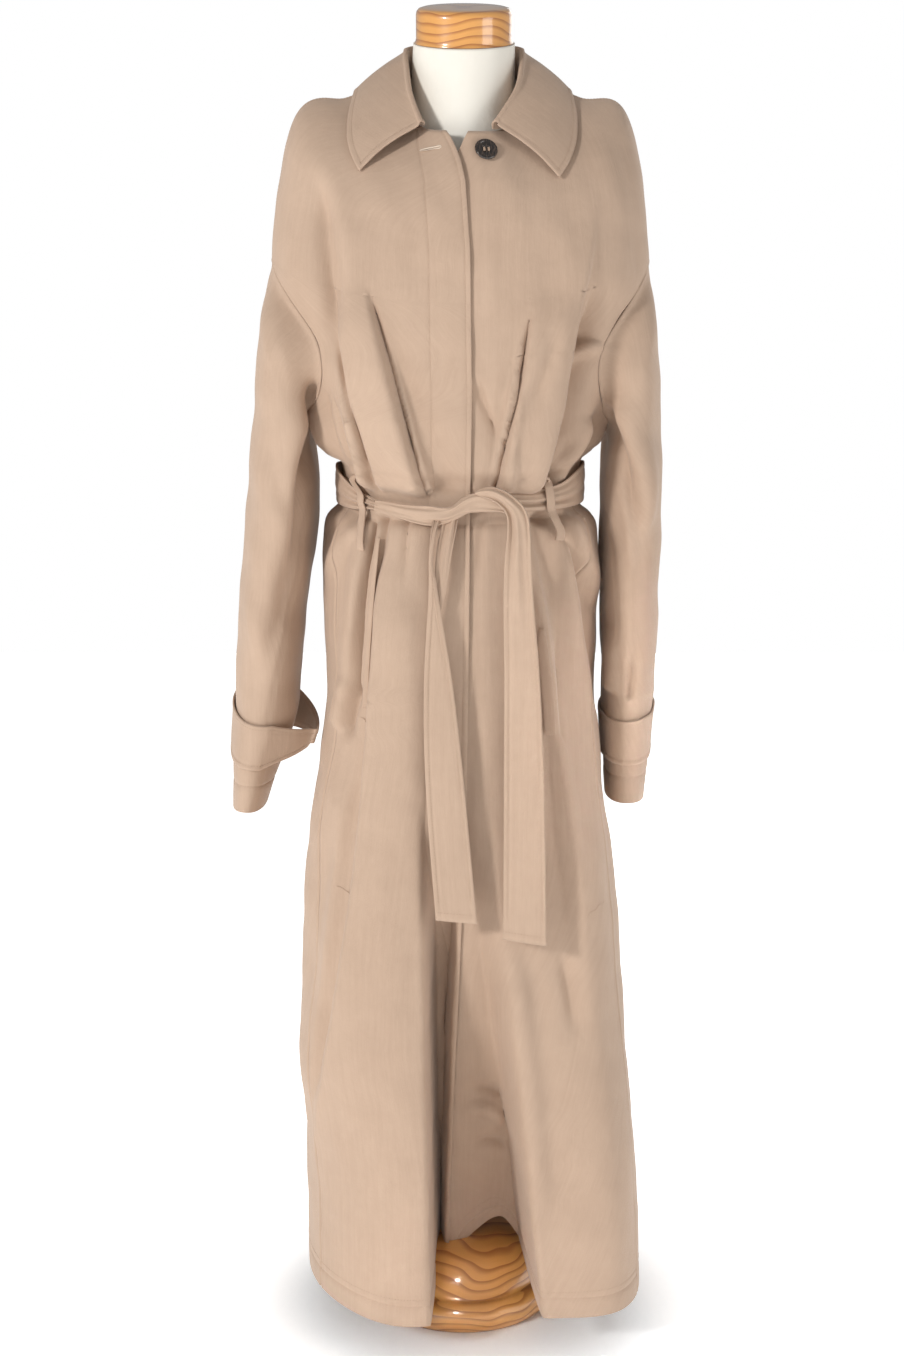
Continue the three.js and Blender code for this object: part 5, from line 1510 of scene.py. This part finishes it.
share = g.math("MULTIPLY", g.math("SUBTRACT", share, 0.5), into.outputs["Unevenness"])
share = g.math("ADD", share, g.math("MULTIPLY", relief, 0.05))
share = g.ramp(g.math("ADD", share, 0.5), 0.0, 1.0)
color = g.blend(share, into.outputs["Shadow thread"], into.outputs["Thread"])
rough = g.math("ADD", into.outputs["Roughness"], g.math("MULTIPLY", g.math("SUBTRACT", fine, 0.5), 0.15))
height = g.math("ADD", g.math("MULTIPLY", relief, 0.00003), g.math("MULTIPLY", slub_lines, 0.0002))
height = g.math("ADD", height, g.math("MULTIPLY", streaks, 0.00045))
height = g.math("ADD", height, g.math("MULTIPLY", g.noise(coordinate.outputs["Object"], 38.0, 4.0), 0.0022))
g.feed(out, {"Color": color, "Roughness": rough, "Height": height})


def woven_material(name, thread, shadow, pitch, diagonal, unevenness, rough, sheen, sheen_tint):
    """A woven finish. pitch is the width of a twill line in metres, and diagonal is 1 for twill and 0 for
    plain weave."""
    material, n, surface = new_material(name)
    group = n.add("ShaderNodeGroup", node_tree=woven)
    values = (thread, shadow, pitch, diagonal, unevenness, rough)
    for socket, value in zip(group.inputs, values):
        socket.default_value = value
    bump = n.add("ShaderNodeBump", {"Height": group.outputs["Height"], "Strength": 0.55, "Distance": 1.0})
    color, roughness = group.outputs["Color"], group.outputs["Roughness"]
    n.feed(surface, {"Base Color": color, "Roughness": roughness, "Normal": bump.outputs["Normal"]})
    n.feed(surface, {"Sheen Weight": sheen, "Sheen Roughness": 0.45, "Sheen Tint": sheen_tint})
    n.feed(surface, {"Specular IOR Level": 0.25})
    return material


# name: (thread, shadow thread, pitch, diagonal, unevenness, roughness, sheen, tint of the sheen)
CLOTHS = {
    "coat cotton twill": (
        (0.545, 0.395, 0.292, 1), (0.405, 0.282, 0.202, 1), 0.0007, 1.0, 0.85, 0.72, 0.25, (1, 0.93, 0.85, 1),
    ),
    "form linen": (
        (0.88, 0.85, 0.78, 1), (0.74, 0.69, 0.6, 1), 0.0011, 0.0, 0.5, 0.9, 0.15, (1, 1, 1, 1),
    ),
    "sewing thread": (
        (0.50, 0.355, 0.255, 1), (0.40, 0.28, 0.20, 1), 0.0005, 1.0, 0.3, 0.6, 0.1, (1, 0.95, 0.9, 1),
    ),
    "buttonhole thread": (
        (0.78, 0.66, 0.54, 1), (0.66, 0.54, 0.43, 1), 0.0005, 1.0, 0.3, 0.6, 0.1, (1, 0.95, 0.9, 1),
    ),
}
cotton, linen, thread, pale_thread = (woven_material(name, *values) for name, values in CLOTHS.items())

# %% [markdown]
# The stand is turned from pine planks under a thick clear varnish. A plank's year rings are long tubes,
# and the lathe cuts through them, which leaves the loops and waves that one sees on the base.

# %% Varnished pine
PALE_WOOD, LATE_WOOD = (0.72, 0.345, 0.092, 1), (0.34, 0.105, 0.02, 1)
# The colour of the dark spots, one of which is painted shadow, and of the wood's fibres.
DARK_SPOT_WOOD, FIBRE_WOOD = (0.13, 0.045, 0.014, 1), (0.48, 0.21, 0.06, 1)
RINGS_PER_METRE = 98.0
PLANK_TURN = 0.5  # radians, how the planks lie on the floor
# Places in m of three dark spots on the wood: one on the cap's top, one on the base's top just under the
# coat's hem, and one on the base beside the right front's flare, which is painted shadow of that flare.
DARK_SPOTS = ((0.012, -0.118, 0.072), (-0.062, -0.108, 0.03), (0.03, -0.03, 1.52))
pine, n, surface = new_material("varnished pine")
place = n.add("ShaderNodeTexCoord").outputs["Object"]
bend = n.add("ShaderNodeTexNoise", {"Vector": place, "Scale": 7.0, "Detail": 2.0}).outputs["Color"]
moved = n.add("ShaderNodeVectorMath", {0: bend, 1: (0.09, 0.09, 0.09)}, operation="MULTIPLY").outputs[0]
place = n.add("ShaderNodeVectorMath", {0: place, 1: moved}, operation="ADD").outputs[0]
tree_axis = {"Location": (0.0, 0.02, 0.17), "Rotation": (0, 0.12, PLANK_TURN), "Scale": (0.16, 1, 1)}
axis = n.add("ShaderNodeMapping", {"Vector": place, **tree_axis})
apart = n.add("ShaderNodeVectorMath", {0: axis.outputs[0]}, operation="LENGTH").outputs["Value"]
rings = n.math("FRACT", n.math("MULTIPLY", apart, RINGS_PER_METRE))
late = n.math("MULTIPLY", n.ramp(rings, 0.45, 0.96), n.math("SUBTRACT", 1.0, n.ramp(rings, 0.93, 1.0)))
fibre = n.add("ShaderNodeMapping", {"Vector": place, "Rotation": (0, 0, PLANK_TURN), "Scale": (40, 900, 900)})
late = n.math("MULTIPLY", late, n.math("ADD", 0.55, n.math("MULTIPLY", n.noise(place, 30.0, 3.0), 0.6)))
wood_color = n.blend(late, PALE_WOOD, LATE_WOOD)
# Each dark spot darkens the wood round it. The one beside the right front's flare is painted shadow.
for knot in DARK_SPOTS:
    here = n.add("ShaderNodeTexCoord").outputs["Object"]
    away = n.add("ShaderNodeVectorMath", {0: here, 1: knot}, operation="DISTANCE").outputs["Value"]
    rim = n.math("ADD", away, n.math("MULTIPLY", n.noise(place, 60.0, 3.0), 0.016))
    wood_color = n.blend(n.ramp(rim, 0.012, 0.03), DARK_SPOT_WOOD, wood_color)
fibres = n.math("MULTIPLY", n.noise(fibre.outputs[0], 1.0, 2.0), 0.25)
wood_color = n.blend(fibres, wood_color, FIBRE_WOOD)
roughness = n.math("ADD", 0.28, n.math("MULTIPLY", late, 0.12))
relief = n.math("MULTIPLY", late, -0.0002)
grain = n.add("ShaderNodeBump", {"Height": relief, "Strength": 0.4, "Distance": 1.0}).outputs["Normal"]
n.feed(surface, {"Base Color": wood_color, "Roughness": roughness, "Normal": grain})
n.feed(surface, {"Coat Weight": 1.0, "Coat Roughness": 0.06, "Coat IOR": 1.55})

# %% Dark horn and steel
horn, n, surface = new_material("dark horn")
place = n.add("ShaderNodeTexCoord").outputs["Object"]
streak = n.add("ShaderNodeMapping", {"Vector": place, "Rotation": (0.3, 0.4, 0.2), "Scale": (900, 200, 120)})
cloud = n.ramp(n.noise(streak.outputs[0], 1.0, 4.0), 0.42, 0.72)
color = n.blend(cloud, (0.012, 0.009, 0.008, 1), (0.075, 0.048, 0.034, 1))
n.feed(surface, {"Base Color": color, "Roughness": n.math("ADD", 0.2, n.math("MULTIPLY", cloud, 0.18))})
n.feed(surface, {"Coat Weight": 0.4, "Coat Roughness": 0.12})

steel, n, surface = new_material("satin steel")
place = n.add("ShaderNodeTexCoord").outputs["Object"]
drawn = n.add("ShaderNodeMapping", {"Vector": place, "Scale": (700, 700, 4)}).outputs[0]
lines = n.noise(drawn, 1.0, 3.0)
color = n.blend(lines, (0.44, 0.44, 0.45, 1), (0.66, 0.66, 0.67, 1))
n.feed(surface, {"Base Color": color, "Roughness": n.math("ADD", 0.25, n.math("MULTIPLY", lines, 0.2))})
n.feed(surface, {"Metallic": 1.0})
print("materials", [m.name for m in bpy.data.materials])

# %% Finishes on the pieces
coats = [front_right, front_left, back, sleeves[-1], sleeves[1], collar, belt]
coats += [tail_right, tail_left, tail_turned, *loops.values(), *straps.values(), tie]
FINISHES = (
    (coats, cotton, "coat"),
    ([torso], linen, "linen"),
    ([cap, stand_base], pine, "wood"),
    ([pole], steel, "pole"),
    (list(welts.values()), cotton, "coat"),
    ([button], horn, "button"),
    (stitch_rows + [button_thread], thread, "coat"),
    ([buttonhole], pale_thread, "coat"),
)
for pieces, material, slot in FINISHES:
    for piece in pieces:
        piece.data.materials.append(material)
        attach(piece, "root")

# %% [markdown]
# ## What carries and replaces what
# Each piece of cloth stands for one solid, whose node is hidden, and rides on the one rigid body. A table
# lists what size each was cut to.

# %% Links to the solids
CUTS = {
    # node: (piece, width and length in m, held, the node it rests on, area in m2)
    "front_right": (front_right, (0.40, 1.42), "draped", "form_torso", 0.36),
    "front_left": (front_left, (0.40, 1.42), "draped", "form_torso", 0.39),
    "back": (back, (0.88, 1.42), "draped", "form_torso", 0.95),
    "sleeve_right": (sleeves[-1], (0.42, 0.62), "hung", "front_right", 0.215),
    "sleeve_left": (sleeves[1], (0.40, 0.60), "hung", "front_left", 0.195),
    "collar": (collar, (0.47, 0.14), "folded", "back", 0.058),
    "belt_band": (belt, (0.80, 0.044), "gathered", "back", None),
    "belt_tail_right": (tail_right, (0.044, 0.45), "hung", "belt_knot", None),
    "belt_tail_left": (tail_left, (0.047, 0.50), "hung", "belt_knot", None),
}
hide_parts("belt_knot")
for name, (piece, *cut) in CUTS.items():
    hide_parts(name)
for side, piece in loops.items():
    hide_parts("belt_loop_" + side)
for sign, side in SIDES:
    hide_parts("cuff_strap_" + side)
for side, piece in welts.items():
    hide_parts("pocket_welt_" + side)
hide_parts("neck_button")
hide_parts("form_torso")
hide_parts("neck_cap")
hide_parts("stand_base")
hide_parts("stand_pole")
NAMES = {name: cut[0].name for name, cut in CUTS.items()}
NAMES.update(form_torso=torso.name, belt_knot=tie.name)

# %% Floor
FLOOR = np.array([(-6, -6, 0), (6, -6, 0), (6, 6, 0), (-6, 6, 0)]) * 1000
floor = mesh_object("floor", FLOOR, [(0, 1, 2, 3)])
white, n, surface = new_material("glowing white floor")
# Away from the base the floor glows: painted light that washes out the coat's shadow on it and passes into
# the white surroundings.
place = n.add("ShaderNodeTexCoord").outputs["Object"]
far = n.add("ShaderNodeVectorMath", {0: place}, operation="LENGTH").outputs["Value"]
n.feed(surface, {"Base Color": (0.97, 0.97, 0.97, 1), "Roughness": 0.7})
n.feed(surface, {"Emission Strength": 0.85, "Emission Color": n.ramp(far, 0.1, 0.36)})
floor.data.materials.append(white)
